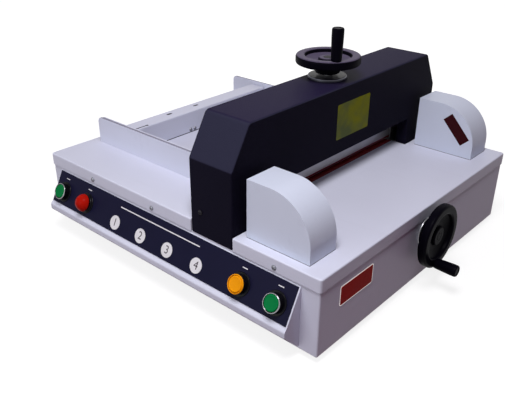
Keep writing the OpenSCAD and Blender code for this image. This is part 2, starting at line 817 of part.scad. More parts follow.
// Bent cover of the arch: front, roof, shoulders and flanks, with turned-in edges round the throat
module arch_cover() color("#26262e") placed() difference() {
    union() {
        along_y(arch_y0, arch_y0 + arch_wall) arch_face();
        difference() {
            along_y(arch_y0, panel_y)
                polygon(round_corners(arch_roof(seam_z), shoulder_r * roof_rounds));
            along_y(arch_y0 + arch_wall, panel_y + cut)
                polygon(round_corners(inset(arch_roof(seam_z - 2 * arch_wall), arch_wall),
                    (shoulder_r - arch_wall * 0.5) * roof_rounds));
            block([-throat_x, throat_x], [arch_y0 - cut, panel_y + cut], [seam_z - cut, throat_z]);
        }
        both_sides() block([throat_x, throat_x + arch_wall], [arch_y0, arch_y0 + throat_lip],
            [table_z, throat_z + arch_wall]);
        block([-throat_x, throat_x], [arch_y0, arch_y0 + throat_lip - 4],
            [throat_z, throat_z + arch_wall]);
    }
    translate([0, spindle_y, roof_z - cut]) cylinder(r = nut_r + 0.5, h = arch_wall + 2 * cut);
    at_arch_screws() screw_hole();
}

module arch_rear_panel() color("#26262e") placed() along_y(panel_y, arch_y1) arch_face();

// Places of the screws in the arch's flanks
module at_arch_screws() {
    both_sides() translate([arch_x, arch_y1 - 18, table_z + 16.5]) rotate([0, 90, 0]) children();
}

module arch_screws() color("black") placed() at_arch_screws() cover_screw(6);

// Nut with its flange on top of the arch
module clamp_nut() color("silver") placed() translate([0, spindle_y, 0]) rotate_extrude() polygon([
    [spindle_r + run_gap, arch_z1 - nut_l], [nut_r, arch_z1 - nut_l], [nut_r, arch_z1],
    [nut_flange_r, arch_z1], [nut_flange_r, nut_top - 1.2], [nut_flange_r - 1.2, nut_top],
    [spindle_r + run_gap, nut_top]]);

// Side outline of a light post, moved inwards by t
module post_side(t) {
    y0 = post_y0 + t;
    z1 = table_z + post_h - t;
    mid = [post_y0 + post_r, table_z + post_h - post_r];
    translate([mid[0], table_z]) square([post_d - post_r - t, z1 - table_z]);
    translate([y0, table_z]) square([post_d - 2 * t, post_h - post_r]);
    translate(mid) circle(post_r - t, $fn = 96);
}

module at_window(x) {
    translate([x, post_y0 + window_y, table_z + window_z]) rotate([window_lean, 0, 0]) children();
}

// Right-hand light post: a shell open below, with its window's hole
module light_post() difference() {
    along_x(post_x0, post_x1) intersection() {
        post_side(0);
        translate([post_y0, table_z]) square([post_d, post_h]);
    }
    along_x(post_x0 + post_wall, post_x1 - post_wall) intersection() {
        post_side(post_wall);
        translate([post_y0, table_z - cut]) square([post_d, post_h]);
    }
    along_x(post_x0 + post_wall, post_x1 - post_wall)
        translate([post_y0 + post_wall, table_z - cut])
            square([post_d - 2 * post_wall, 2 * cut]);
    at_window(post_x0) cube([6 * post_wall, window_l, window_w], center = true);
}

module right_light_post() color("white") placed() light_post();
module left_light_post() color("white") placed() mirror([1, 0, 0]) light_post();

// Dark pane let into the post's hole
module window() at_window(post_x0)
    translate([0, -window_l / 2 + hole_gap, -window_w / 2 + hole_gap])
        cube([post_wall, window_l - 2 * hole_gap, window_w - 2 * hole_gap]);

module right_window() color("maroon") placed() window();
module left_window() color("maroon") placed() mirror([1, 0, 0]) window();

// Board behind the window: pads that seat on the post's wall, and a row of diodes
module barrier_board() at_window(post_x0 + post_wall) {
    translate([8, -window_l / 2 - 8, -6]) cube([1.6, window_l + 16, 12]);
    for (end = [-1, 1])
        translate([0, end * (window_l / 2 + 4), 0]) rotate([0, 90, 0]) cylinder(r = 3, h = 8);
    for (i = [-2 : 2])
        translate([3, i * window_l / 6, 0]) rotate([0, 90, 0]) cylinder(r = 2.5, h = 5);
}

module receiver_board() color("darkgreen") placed() barrier_board();
module emitter_board() color("darkgreen") placed() mirror([1, 0, 0]) barrier_board();

// Side fence of the rear table
module fence() along_x(fence_x, fence_x + fence_t) polygon(round_corners(
    [[lid_y1, table_z], [rear_y - fence_set, table_z],
        [rear_y - fence_set, table_z + fence_h], [lid_y1, table_z + fence_h]], [0, 0, fence_r, 0]));

module right_fence() color("white") placed() fence();
module left_fence() color("white") placed() mirror([1, 0, 0]) fence();

// Flanged bearing in the front wall
module front_bearing() color("silver") placed() translate([0, front_y + sheet, screw_axis_z])
    rotate([90, 0, 0]) rotate_extrude() polygon([
        [journal_r + run_gap, -22], [journal_r + 7, -22], [journal_r + 7, 0], [bearing_r, 0],
        [bearing_r, front_plate_t - 1], [bearing_r - 1, front_plate_t],
        [journal_r + run_gap, front_plate_t]]);

// Upright plate that carries the rails and the end of the lead screw
module rear_bearing() color("slategray") placed() difference() {
    union() {
        block([-carriage_x, carriage_x], [rear_bearing_y, rear_bearing_y + rear_bearing_t],
            [floor_z, under_z]);
        for (x = [-1, 1]) translate([x * (carriage_x - 4) - 3, 0, 0])
            along_x(0, 6) polygon([[rear_bearing_y, floor_z],
                [rear_bearing_y + rear_bearing_t + 10, floor_z],
                [rear_bearing_y + rear_bearing_t, under_z - 20], [rear_bearing_y, under_z - 20]]);
    }
    rod_y(0, screw_axis_z, journal_r + run_gap, rear_bearing_y - cut,
        rear_bearing_y + rear_bearing_t + cut);
    both_sides() rod_y(rail_x, rail_z, rail_r + hole_gap, rear_bearing_y - cut,
        rear_bearing_y + rear_bearing_t + cut);
}

module gauge_rails() color("silver") placed() both_sides()
    rod_y(rail_x, rail_z, rail_r, column_y1 + 2, rear_bearing_y + rear_bearing_t);

// Worm gearbox bolted to the right column, with the bearing of the crank shaft
module gearbox() color("gray") placed() difference() {
    union() {
        block([gearbox_x0, column_x0], [gearbox_y0, gearbox_y0 + gearbox_d],
            [floor_z, gearbox_z1]);
        rod_y(crank_x, shaft_z, 18, gearbox_y0 - 3, gearbox_y0 + 1);
        translate([gearbox_x0 - 6, motor_y, motor_z]) rotate([0, 90, 0])
            cylinder(d = motor_d, h = 7);
        for (i = [1 : 4])
            block([gearbox_x0 + 10 * i, gearbox_x0 + 10 * i + 3],
                [gearbox_y0 + 6, gearbox_y0 + gearbox_d - 6], [floor_z, gearbox_z1 + 4]);
    }
    rod_y(crank_x, shaft_z, shaft_r + run_gap, gearbox_y0 - 5, gearbox_y0 + shaft_in + 2);
}

module drive_motor() color("dimgray") placed() translate([gearbox_x0 - 6 - motor_l, motor_y, motor_z])
    rotate([0, 90, 0]) rotate_extrude() polygon([[0, 0], [motor_d * 0.2, 0], [motor_d * 0.2, 8],
        [motor_d / 2 - 3, 8], [motor_d / 2, 11], [motor_d / 2, motor_l], [0, motor_l]]);

// Places of the control board's corners
board_x0 = -side_x + 50;
board_y0 = 70;
board_size = [120, 90];
transformer = [38, 32, 30];
module at_board_corners() {
    for (x = [6, board_size[0] - 6], y = [6, board_size[1] - 6])
        translate([board_x0 + x, board_y0 + y, floor_z]) children();
}

module control_board() color("darkgreen") placed() difference() {
    translate([board_x0, board_y0, floor_z + 10]) {
        cube([board_size[0], board_size[1], 1.6]);
        translate([16, 14, 1]) cube(transformer);
        for (i = [0 : 2]) translate([68 + 16 * i, 18, 1]) cube([12, 24, 16]);
        for (i = [0 : 3]) translate([24 + 22 * i, 66, 1]) cylinder(r = 6, h = 24);
    }
    at_board_corners() cylinder(r = 1.6 + hole_gap, h = 30);
}

module board_standoffs() color("silver") placed() at_board_corners() {
    cylinder(r = 3, h = 10, $fn = 6);
    cylinder(r = 1.6, h = 13);
}

// Three-pole appliance inlet in the rear wall
module power_inlet() color("black") placed() translate([inlet_x, tray_y, inlet_mid_z]) {
    difference() {
        union() {
            along_y(0, inlet_flange) rounded(inlet_w, inlet_h, 4);
            along_y(-26, 1) square([inlet_body_w - 0.4, inlet_body_h - 0.4], center = true);
        }
        along_y(-14, 4) polygon([[-12, -8], [12, -8], [12, 3], [8, 8], [-8, 8], [-12, 3]]);
    }
    for (x = [-7, 0, 7])
        translate([x - 1, -16, x == 0 ? -1 : -4]) cube([2, 14, 4]);
}

// Knife beam with the rebate that the blade lies in
module knife_beam() color("lightsteelblue") placed() difference() {
    along_y(beam_y, knife_y) polygon([[beam_x0, beam_z0], [beam_x1, beam_z0],
        [beam_x1, beam_z1 - beam_cut_h], [beam_x1 - beam_cut_w, beam_z1],
        [beam_x0 + beam_cut_w, beam_z1], [beam_x0, beam_z1 - beam_cut_h]]);
    block([knife_x - blade_l / 2, knife_x + blade_l / 2], [blade_y, knife_y + cut],
        [beam_z0 - cut, beam_z0 + blade_seat]);
    at_blade_screws() rod_y(0, 0, blade_screw_r + hole_gap, -cut, beam_t + cut);
}

// Places of the blade's screws, on the beam's front face
module at_blade_screws() {
    for (i = [-2.5 : 1 : 2.5])
        translate([knife_x + i * blade_screw_step, beam_y, beam_z0 + blade_seat / 2]) children();
}

// Blade ground on its front, flat behind
module knife_blade() color("silver") placed() difference() {
    along_x(knife_x - blade_l / 2, knife_x + blade_l / 2) polygon([[knife_y, edge_z],
        [knife_y, edge_z + blade_h], [blade_y, edge_z + blade_h], [blade_y, edge_z + bevel_h]]);
    at_blade_screws() rod_y(0, 0, blade_screw_r + hole_gap, -cut, beam_t + cut);
}

module blade_screws() color("dimgray") placed() at_blade_screws() {
    difference() {
        rod_y(0, 0, 6.5, -5, 0);
        rotate([90, 0, 0]) translate([0, 0, 2.5]) cylinder(r = 3.4, h = 4, $fn = 6);
    }
    rod_y(0, 0, blade_screw_r, 0, beam_t - 0.5);
}

module guide_rollers() color("silver") placed() for (side = [-1, 1])
    rod_y(knife_x + side * roller_x, rollers_z, roller_r, knife_y, knife_y + roller_l);

// Plate that hangs from the beam's end, with the slot of the crank roller
module pull_plate() color("gray") placed() along_y(pull_y0, beam_y) difference() {
    polygon(round_corners([[pin_x - pull_half, pin_z - pull_half], [beam_x1, pin_z - pull_half],
        [beam_x1, beam_z0 + 18], [beam_x1 - 10, beam_z1 - 12], [beam_x1 - strap_w, beam_z1 - 12],
        [beam_x1 - strap_w, pin_z + pull_half], [pin_x - pull_half, pin_z + pull_half]],
        [10, 10, 0, 4, 4, 8, 10]));
    slot([pin_x, pin_z], [slot_far_x, pin_z], slot_half);
    for (z = [beam_z0 - 26, beam_z0 - 60])
        translate([beam_x1 - strap_w / 2, z]) circle(9);
}

// Crank arm with its shaft and pin
module crank() color("gray") placed() {
    along_y(crank_y0, crank_y1) {
        translate([crank_x, shaft_z]) circle(16);
        translate([pin_x, pin_z]) circle(11);
        translate([crank_x + pin_x, shaft_z + pin_z] / 2) rotate(half_swing)
            square([crank_r, 17], center = true);
    }
    rod_y(crank_x, shaft_z, shaft_r, crank_y1 - cut, gearbox_y0 + shaft_in);
    rod_y(pin_x, pin_z, crank_pin_r, pull_y0 - 2, crank_y0 + cut);
    rod_y(pin_x, pin_z, crank_pin_r + 2, pull_y0 - 4, pull_y0 - 1);
}

module crank_roller() color("silver") placed() difference() {
    rod_y(pin_x, pin_z, crank_roller_r, pull_y0 - 1 + move_gap, crank_y0 - move_gap);
    rod_y(pin_x, pin_z, crank_pin_r + run_gap, pull_y0 - 2, crank_y0);
}

// Cast clamp: foot, web, ribs and the boss that the spindle turns in
module clamp_beam() color("silver") placed() difference() {
    union() {
        block([-clamp_x, clamp_x], [clamp_y0, clamp_y1], [clamp_z0, clamp_z0 + clamp_foot]);
        block([-clamp_x, clamp_x], [clamp_y0, clamp_y0 + clamp_web], [clamp_z0, clamp_z1 - 4]);
        block([-boss_x, boss_x], [clamp_y0, spindle_y + 18], [clamp_z0, clamp_z1]);
        for (i = [-2.5 : 1 : 2.5])
            along_x(i * clamp_rib_step - 3, i * clamp_rib_step + 3) polygon([[clamp_y0 + 1, clamp_z0 + 1],
                [clamp_y1, clamp_z0 + clamp_foot], [clamp_y0 + clamp_web, clamp_z1 - 6],
                [clamp_y0 + 1, clamp_z1 - 6]]);
    }
    translate([0, spindle_y, clamp_z1 - button_l - move_gap])
        cylinder(r = spindle_r + move_gap, h = button_l + 1);
    along_x(-clamp_x - cut, clamp_x + cut) polygon([[clamp_y0 - cut, clamp_z0 - cut],
        [clamp_y0 + clamp_relief, clamp_z0 - cut], [clamp_y0 - cut, clamp_z0 + clamp_relief]]);
}

// Plate on the clamp's boss that holds the spindle's neck
module clamp_keeper() color("gray") placed() difference() {
    block([-boss_x, boss_x], [clamp_y0 + 1, spindle_y + 18], [clamp_z1, clamp_z1 + keeper_t]);
    translate([0, spindle_y, clamp_z1 - cut]) cylinder(r = neck_r + run_gap, h = keeper_t + 2 * cut);
    block([-neck_r - run_gap, neck_r + run_gap], [spindle_y, spindle_y + 20],
        [clamp_z1 - cut, clamp_z1 + keeper_t + cut]);
}

// Spindle: foot in the boss, neck in the keeper, thread through the nut
module clamp_spindle() color("silver") placed() translate([0, spindle_y, 0]) rotate_extrude() polygon([
    [0, clamp_z1 - button_l], [spindle_r, clamp_z1 - button_l], [spindle_r, clamp_z1 - move_gap],
    [neck_r, clamp_z1 - move_gap], [neck_r, clamp_z1 + keeper_t + move_gap],
    [spindle_r, clamp_z1 + keeper_t + move_gap], [spindle_r, clamp_rim_z + hub_front - shaft_sink - 1],
    [spindle_r - 1, clamp_rim_z + hub_front - shaft_sink], [0, clamp_rim_z + hub_front - shaft_sink]]);

// Dished handwheel on a shaft of radius r; its rim's back lies at height 0, its hub's at -hub_l
module handwheel(r, hub_l) {
    difference() {
        rotate_extrude($fn = 96) difference() {
            union() {
                translate([wheel_r - rim_w / 2, rim_t / 2]) rounded(rim_w, rim_t, 3);
                polygon(round_corners([[hub_r - 4, -2], [hub_r + 4, -1], [wheel_r - rim_w + 3, 2],
                    [wheel_r - rim_w + 3, 7.5], [hub_r + 4, 4], [hub_r - 4, 5]],
                    [0, 4, 0, 0, 4, 0]));
                polygon([[0, -hub_l], [hub_r - 1.5, -hub_l], [hub_r, -hub_l + 1.5], [hub_r, -1],
                    [hub_boss_r, 4], [hub_boss_r, hub_front - 2], [hub_boss_r - 2, hub_front],
                    [0, hub_front]]);
            }
            square([2 * (r + hole_gap / 2), 4 * wheel_r], center = true);
        }
        translate([grip_at, 0, -cut]) cylinder(r = grip_pin_r + hole_gap / 2, h = rim_t + 2 * cut);
    }
}

// Shoulder pin of a grip, screwed into the rim, its head sunk in the grip's tip
module grip_pin(length) translate([grip_at, 0, 0]) rotate_extrude() polygon([
    [0, 2], [grip_pin_r, 2], [grip_pin_r, rim_t + length - 5], [grip_pin_r + 2.2, rim_t + length - 5],
    [grip_pin_r + 2.2, rim_t + length - 1], [0, rim_t + length - 1]]);

// Revolving grip, thicker towards its tip
module grip(length) translate([grip_at, 0, rim_t + move_gap]) rotate_extrude() difference() {
    polygon(round_corners([[0, 0], [grip_root_r, 0], [grip_r, length * 0.75],
        [grip_r - 0.4, length - move_gap], [0, length - move_gap]], [0, 1, 20, 2, 0]));
    translate([-cut, -cut]) square([grip_pin_r + run_gap + cut, length + 2 * cut]);
    translate([-cut, length - 5 - 2 * move_gap])
        square([grip_pin_r + 2.2 + move_gap + cut, 6 + cut]);
}

module on_clamp_wheel() {
    translate([0, spindle_y, clamp_rim_z]) rotate(clamp_grip_turn) children();
}

module clamp_handwheel() color("#18181c") placed() on_clamp_wheel() handwheel(spindle_r, clamp_hub_l);
module clamp_grip_pin() color("silver") placed() on_clamp_wheel() grip_pin(clamp_grip_l);
module clamp_grip() color("#18181c") placed() on_clamp_wheel() grip(clamp_grip_l);

module on_gauge_wheel() {
    translate([0, gauge_rim_y, screw_axis_z]) rotate([90, 0, 0]) rotate(gauge_grip_turn) children();
}

module gauge_handwheel() color("#18181c") placed() on_gauge_wheel() handwheel(journal_r, gauge_hub_l);
module gauge_grip_pin() color("silver") placed() on_gauge_wheel() grip_pin(gauge_grip_l);
module gauge_grip() color("#18181c") placed() on_gauge_wheel() grip(gauge_grip_l);

// Lead screw: front journal with the wheel, thread, rear journal
module lead_screw() color("silver") placed() translate([0, rear_bearing_y, screw_axis_z]) rotate([90, 0, 0])
    rotate_extrude() polygon([[0, -rear_bearing_t], [journal_r, -rear_bearing_t],
        [journal_r, move_gap], [screw_r, move_gap], [screw_r, rear_bearing_y - front_y - 26],
        [journal_r, rear_bearing_y - front_y - 26],
        [journal_r, rear_bearing_y - gauge_rim_y + hub_front - shaft_sink - 1],
        [journal_r - 1, rear_bearing_y - gauge_rim_y + hub_front - shaft_sink],
        [0, rear_bearing_y - gauge_rim_y + hub_front - shaft_sink]]);

// Pusher: upright front and a slotted top, slit beside the fold at its left end
module back_gauge() color("white") placed() difference() {
    along_x(-gauge_x, gauge_x) polygon(round_corners([[gauge_y, gauge_z0],
        [gauge_y + gauge_t, gauge_z0], [gauge_y + gauge_t, gauge_z1 - gauge_t],
        [gauge_y + gauge_d, gauge_z1 - gauge_t], [gauge_y + gauge_d, gauge_z1],
        [gauge_y, gauge_z1]], [0, 0, 2, 0, 0, 2]));
    along_z(gauge_z1 - gauge_t - cut, gauge_z1 + cut)
        for (x = [gauge_slot_x, gauge_slot_x - gauge_slot_step])
            translate([x, gauge_y + gauge_d * 0.62])
                slot([-(gauge_slot_l - gauge_slot_w) / 2, 0], [(gauge_slot_l - gauge_slot_w) / 2, 0],
                    gauge_slot_w / 2);
    along_z(gauge_z1 - 2 * gauge_t, gauge_z1 + cut) {
        translate([-gauge_x - cut, gauge_y + gauge_t]) square([fold_slit_l + cut, fold_slit_w]);
        translate([-gauge_x + fold_slit_l, gauge_y + gauge_t + fold_slit_w / 2]) circle(fold_slit_w * 1.4);
    }
    at_gauge_screws() rod_y(0, 0, shank_r + hole_gap, -cut, gauge_t + cut);
}

// Places of the screws that hold the pusher to its carriage
module at_gauge_screws() {
    for (x = [-34, -24, 24, 34]) translate([x, gauge_y, table_z + 5]) children();
}

module gauge_screws() color("dimgray") placed() at_gauge_screws() {
    rotate([90, 0, 0]) cylinder(r1 = screw_head_r, r2 = screw_head_r - 1, h = 1.2);
    rod_y(0, 0, shank_r, 0, 10);
}

// Carriage under the table, its stem through the slot and its foot behind the pusher
module gauge_carriage() color("slategray") placed() difference() {
    union() {
        block([-carriage_x, carriage_x], [carriage_y0, carriage_y0 + carriage_l],
            [rail_z - 9, rail_z + 9]);
        block([-nut_out_r - 5, nut_out_r + 5], [carriage_y0, carriage_y0 + carriage_l],
            [screw_axis_z - nut_out_r - 5, rail_z]);
        block([-stem_x, stem_x], [carriage_y0, carriage_y0 + carriage_l], [rail_z, foot_top]);
        block([-foot_x, foot_x], [carriage_y0, carriage_y0 + carriage_l - 6], [gauge_z0, foot_top]);
    }
    both_sides() rod_y(rail_x, rail_z, rail_r + run_gap, carriage_y0 - cut,
        carriage_y0 + carriage_l + cut);
    rod_y(0, screw_axis_z, nut_out_r + hole_gap / 2, carriage_y0 - cut, carriage_y0 + carriage_l + cut);
    at_gauge_screws() rod_y(0, 0, shank_r + hole_gap, 0, 11);
}

module gauge_nut() color("goldenrod") placed() difference() {
    union() {
        rod_y(0, screw_axis_z, nut_out_r, carriage_y0, carriage_y0 + carriage_l);
        rod_y(0, screw_axis_z, nut_out_r + 4, carriage_y0 + carriage_l, carriage_y0 + carriage_l + 4);
    }
    rod_y(0, screw_axis_z, screw_r + run_gap, carriage_y0 - cut, carriage_y0 + carriage_l + 5);
}

base_tray();
feet();
front_table();
rear_table();
table_screws();
console_shell();
console_panel();
button_bezels();
switch_blocks();
bed();
cutting_stick();
left_column();
right_column();
crossbeam();
arch_cover();
arch_rear_panel();
arch_screws();
clamp_nut();
left_light_post();
right_light_post();
left_window();
right_window();
emitter_board();
receiver_board();
left_fence();
right_fence();
front_bearing();
rear_bearing();
gauge_rails();
gearbox();
drive_motor();
control_board();
board_standoffs();
power_inlet();
knife_beam();
knife_blade();
blade_screws();
guide_rollers();
pull_plate();
crank();
crank_roller();
clamp_beam();
clamp_keeper();
clamp_spindle();
clamp_handwheel();
clamp_grip_pin();
clamp_grip();
back_gauge();
gauge_carriage();
gauge_nut();
gauge_screws();
lead_screw();
gauge_handwheel();
gauge_grip_pin();
gauge_grip();
rear_green_button();
red_button();
amber_button();
front_green_button();
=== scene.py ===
# Electric table paper cutter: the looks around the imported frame, in metres and on the frame's own axes.
import json
import math

import bmesh
import bpy
from mathutils import Matrix, Vector

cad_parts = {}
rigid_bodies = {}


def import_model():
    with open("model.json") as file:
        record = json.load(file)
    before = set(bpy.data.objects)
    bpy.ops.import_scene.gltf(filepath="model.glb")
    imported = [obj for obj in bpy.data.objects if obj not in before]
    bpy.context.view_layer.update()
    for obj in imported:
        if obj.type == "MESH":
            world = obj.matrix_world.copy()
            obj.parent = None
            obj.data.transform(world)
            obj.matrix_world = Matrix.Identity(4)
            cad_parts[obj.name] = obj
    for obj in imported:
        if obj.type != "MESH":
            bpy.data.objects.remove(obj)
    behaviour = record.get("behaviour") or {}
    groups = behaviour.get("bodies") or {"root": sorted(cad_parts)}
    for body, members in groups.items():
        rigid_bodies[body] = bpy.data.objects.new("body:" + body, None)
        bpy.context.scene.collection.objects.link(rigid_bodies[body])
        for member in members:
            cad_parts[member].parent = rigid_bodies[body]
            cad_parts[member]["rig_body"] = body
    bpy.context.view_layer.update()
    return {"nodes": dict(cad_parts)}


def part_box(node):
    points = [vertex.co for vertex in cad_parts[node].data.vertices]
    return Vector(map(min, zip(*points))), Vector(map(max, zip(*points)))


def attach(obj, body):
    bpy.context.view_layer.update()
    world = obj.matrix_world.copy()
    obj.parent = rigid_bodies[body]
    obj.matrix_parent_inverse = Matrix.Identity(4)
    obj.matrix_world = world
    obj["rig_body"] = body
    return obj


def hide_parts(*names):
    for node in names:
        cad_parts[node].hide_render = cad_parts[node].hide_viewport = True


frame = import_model()

# Studio
# The machine stands on a white sweep, under a wide soft lamp over the table, with a second at its left
# rear and a faint third behind its right flank.
# The camera looks down on the left front corner, from the height of a standing person.

bpy.context.scene.view_settings.view_transform = "Standard"

camera_turn, camera_rise, camera_roll = (math.radians(angle) for angle in (-48.0589, 27.5923, 0.2115))
bpy.ops.object.camera_add(location=(-0.755797, -0.605372, 0.552320))
camera = bpy.context.object
camera.rotation_euler = (
    Matrix.Rotation(camera_turn, 4, "Z")
    @ Matrix.Rotation(math.pi / 2 - camera_rise, 4, "X")
    @ Matrix.Rotation(camera_roll, 4, "Z")
).to_euler()
camera.data.sensor_width = 36
camera.data.lens = 46.016
bpy.context.scene.camera = camera


def soft_lamp(name, place, aim, size, watts, colour):
    """A square lamp that faces the point it is aimed at."""
    bpy.ops.object.light_add(type="AREA", location=place)
    lamp = bpy.context.object
    lamp.name = name
    lamp.rotation_euler = (Vector(aim) - Vector(place)).to_track_quat("-Z", "Y").to_euler()
    lamp.data.size = size
    lamp.data.energy = watts
    lamp.data.color = colour


soft_lamp("top_lamp", (-0.60, -0.37, 1.42), (0.0, -0.08, 0.12), 0.5, 18.3, (0.99, 0.98, 1.0))
soft_lamp("left_lamp", (-1.45, 0.22, 0.50), (0.0, 0.00, 0.10), 0.9, 7.0, (0.94, 0.99, 0.99))
soft_lamp("rear_lamp", (1.30, 1.00, 0.80), (0.0, 0.0, 0.10), 0.9, 2.5, (1.0, 0.98, 0.97))


class Wire:
    """One output in a node tree. Sums of wires and numbers add the Math nodes they stand for."""

    def __init__(self, tree, socket=None):
        self.tree, self.socket = tree, socket

    def feed(self, node, inputs):
        """Links a node's sockets to wires, and sets the others to values."""
        for name, value in inputs.items():
            if isinstance(value, Wire):
                self.tree.links.new(value.socket, node.inputs[name])
            else:
                node.inputs[name].default_value = value

    def node(self, kind, settings, inputs, output=0):
        """Adds a node, its settings first, and hands back the wire of one of its outputs."""
        made = self.tree.nodes.new("ShaderNode" + kind)
        for name, value in settings.items():
            setattr(made, name, value)
        self.feed(made, inputs)
        return Wire(self.tree, made.outputs[output] if made.outputs else None)

    def maths(self, operation, first, second):
        return self.node("Math", {"operation": operation}, {0: first, 1: second})

    def __add__(self, other):
        return self.maths("ADD", self, other)

    def __mul__(self, other):
        return self.maths("MULTIPLY", self, other)

    def __sub__(self, other):
        return self.maths("SUBTRACT", self, other)

    def __rsub__(self, other):
        return self.maths("SUBTRACT", other, self)

    __radd__ = __add__
    __rmul__ = __mul__

    def mixed(self, low, high):
        """From the colour low to the colour high, as this wire goes from 0 to 1."""
        return self.node("Mix", {"data_type": "RGBA"}, {0: self, 6: low, 7: high}, 2)

    def between(self, start, end):
        """0 below the start, 1 above the end, and even steps between."""
        return self.node("MapRange", {}, {"Value": self, "From Min": start, "From Max": end})


def seen_directly(tree):
    """1 for what the camera sees, itself or in metal or glass; 0 for light on its way to the object."""
    sight = Wire(tree)
    camera_ray, glossy_ray, glass_ray = (
        sight.node("LightPath", {}, {}, name)
        for name in ("Is Camera Ray", "Is Glossy Ray", "Is Transmission Ray")
    )
    return sight.maths("MAXIMUM", sight.maths("MAXIMUM", camera_ray, glossy_ray), glass_ray)


white = (1, 1, 1, 1)
room_tint, room_strength = (1.0, 0.73, 0.97, 1), 0.078
world = bpy.data.worlds.new("white_room")
world.use_nodes = True
bpy.context.scene.world = world
world.node_tree.nodes.clear()
seen = seen_directly(world.node_tree)
room = seen.node("Background", {}, {"Color": room_tint, "Strength": room_strength})
backdrop = seen.node("Background", {}, {"Color": white, "Strength": 1.0})
shown = seen.node("MixShader", {}, {0: seen, 1: room, 2: backdrop})
seen.node("OutputWorld", {}, {"Surface": shown})

floor_size, shade_start, shade_end = 9, 0.30, 0.85
floor_shade, shadow_grey = (0.84, 0.84, 0.84, 1), (0.22, 0.22, 0.22, 1)
bounce_tint = (0.150, 0.052, 0.080, 1)
bpy.ops.object.select_all(action="DESELECT")
bpy.ops.mesh.primitive_plane_add(size=floor_size)
floor = bpy.context.object
floor.name = "white_floor"
sweep = bpy.data.materials.new("white_sweep")
sweep.use_nodes = True
sweep.node_tree.nodes.clear()
seen = seen_directly(sweep.node_tree)
place = seen.node("TexCoord", {}, {}, "Object")
distance = seen.node("VectorMath", {"operation": "LENGTH"}, {0: place}, "Value")
away = distance.between(shade_start, shade_end)
bounce = seen.node("BsdfDiffuse", {}, {"Color": bounce_tint})
dull = seen.node("BsdfDiffuse", {}, {"Color": shadow_grey})
glow = seen.node("Emission", {}, {"Color": away.mixed(floor_shade, white), "Strength": 1.0})
bright = seen.node("AddShader", {}, {0: dull, 1: glow})
shown = seen.node("MixShader", {}, {0: seen, 1: bounce, 2: bright})
seen.node("OutputMaterial", {}, {"Surface": shown})
floor.data.materials.append(sweep)

# Base tray
# The tray is pressed from 1.5 mm steel sheet with four walls, and carries everything else.
# It is sprayed with a light grey powder coat, baked to a fine orange peel. Its lower bends are round.


def dress(piece, node, finish, stands_for=True):
    """Gives a piece its finish, ties it to the body of a solid of the frame, and hides the solid it stands
    for.
    """
    piece.data.materials.clear()
    piece.data.materials.append(finish)
    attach(piece, frame["nodes"][node]["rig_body"])
    if stands_for:
        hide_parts(node)


def soften(piece, width, angle=35, steps=3):
    """Breaks every sharp edge, and shades flat faces flat and round ones round."""
    bpy.ops.object.select_all(action="DESELECT")
    bpy.context.view_layer.objects.active = piece
    piece.select_set(True)
    edge = piece.modifiers.new("edge", "BEVEL")
    edge.width, edge.segments = width, steps
    edge.limit_method, edge.angle_limit = "ANGLE", math.radians(angle)
    edge.use_clamp_overlap = True
    bpy.ops.object.modifier_apply(modifier="edge")
    bpy.ops.object.shade_smooth_by_angle(angle=math.radians(angle + 5))
    flat = piece.modifiers.new("flat", "WEIGHTED_NORMAL")
    flat.keep_sharp = True
    bpy.ops.object.modifier_apply(modifier="flat")


def sheet_copy(node, name):
    """A copy of a solid's mesh, its triangles joined into whole faces."""
    one_point, one_face = 0.00001, math.radians(0.5)
    bpy.ops.object.select_all(action="DESELECT")
    piece = bpy.data.objects.new(name, frame["nodes"][node].data.copy())
    bpy.context.scene.collection.objects.link(piece)
    bpy.context.view_layer.objects.active = piece
    piece.select_set(True)
    bpy.ops.mesh.customdata_custom_splitnormals_clear()
    bpy.ops.object.mode_set(mode="EDIT")
    bpy.ops.mesh.select_all(action="SELECT")
    bpy.ops.mesh.remove_doubles(threshold=one_point)
    bpy.ops.mesh.dissolve_limited(angle_limit=one_face)
    bpy.ops.object.mode_set(mode="OBJECT")
    return piece


def round_edges(piece, radius, rule, steps):
    """Rounds the edges of which both ends keep to the rule."""
    sharp = 0.6
    bpy.ops.object.mode_set(mode="EDIT")
    bpy.ops.mesh.select_mode(type="EDGE")
    bpy.ops.mesh.select_all(action="DESELECT")
    mesh = bmesh.from_edit_mesh(piece.data)
    for edge in mesh.edges:
        edge.select_set(edge.calc_face_angle(0) > sharp and all(rule(v.co) for v in edge.verts))
    bmesh.update_edit_mesh(piece.data)
    bpy.ops.mesh.bevel(offset=radius, segments=steps, affect="EDGES", clamp_overlap=True)
    bpy.ops.object.mode_set(mode="OBJECT")


def finished_copy(node, name, finish, edge, angle=35, steps=3, bends=None):
    """Stands for a solid: a copy of it, in its finish, with every edge broken.

    Bends that are rounded first are given by their radius, the rule for their ends, and their steps."""
    piece = sheet_copy(node, name)
    if bends:
        round_edges(piece, *bends)
    soften(piece, edge, angle, steps)
    dress(piece, node, finish)


def finish_of(name, **settings):
    """A new finish: the shader's constant sockets are set, and a wire and the shader come back with it."""
    finish = bpy.data.materials.new(name)
    finish.use_nodes = True
    shader = finish.node_tree.nodes["Principled BSDF"]
    for socket, value in settings.items():
        shader.inputs[socket.replace("_", " ")].default_value = value
    return finish, Wire(finish.node_tree), shader


def noise_at(wire, place, scale, detail=2.0):
    """Soft noise, with about as many spots to the metre as the scale says."""
    return wire.node("TexNoise", {}, {"Vector": place, "Scale": scale, "Detail": detail})


def facing_up(wire):
    """How far a face of a piece at rest looks upwards, from -1 to 1."""
    normal = wire.node("TexCoord", {}, {}, "Normal")
    return wire.node("SeparateXYZ", {}, {0: normal}, "Z")


def lit(colour, share):
    """A colour, lighter or darker by this share."""
    return tuple(min(1.0, part * share) for part in colour) + (1.0,)


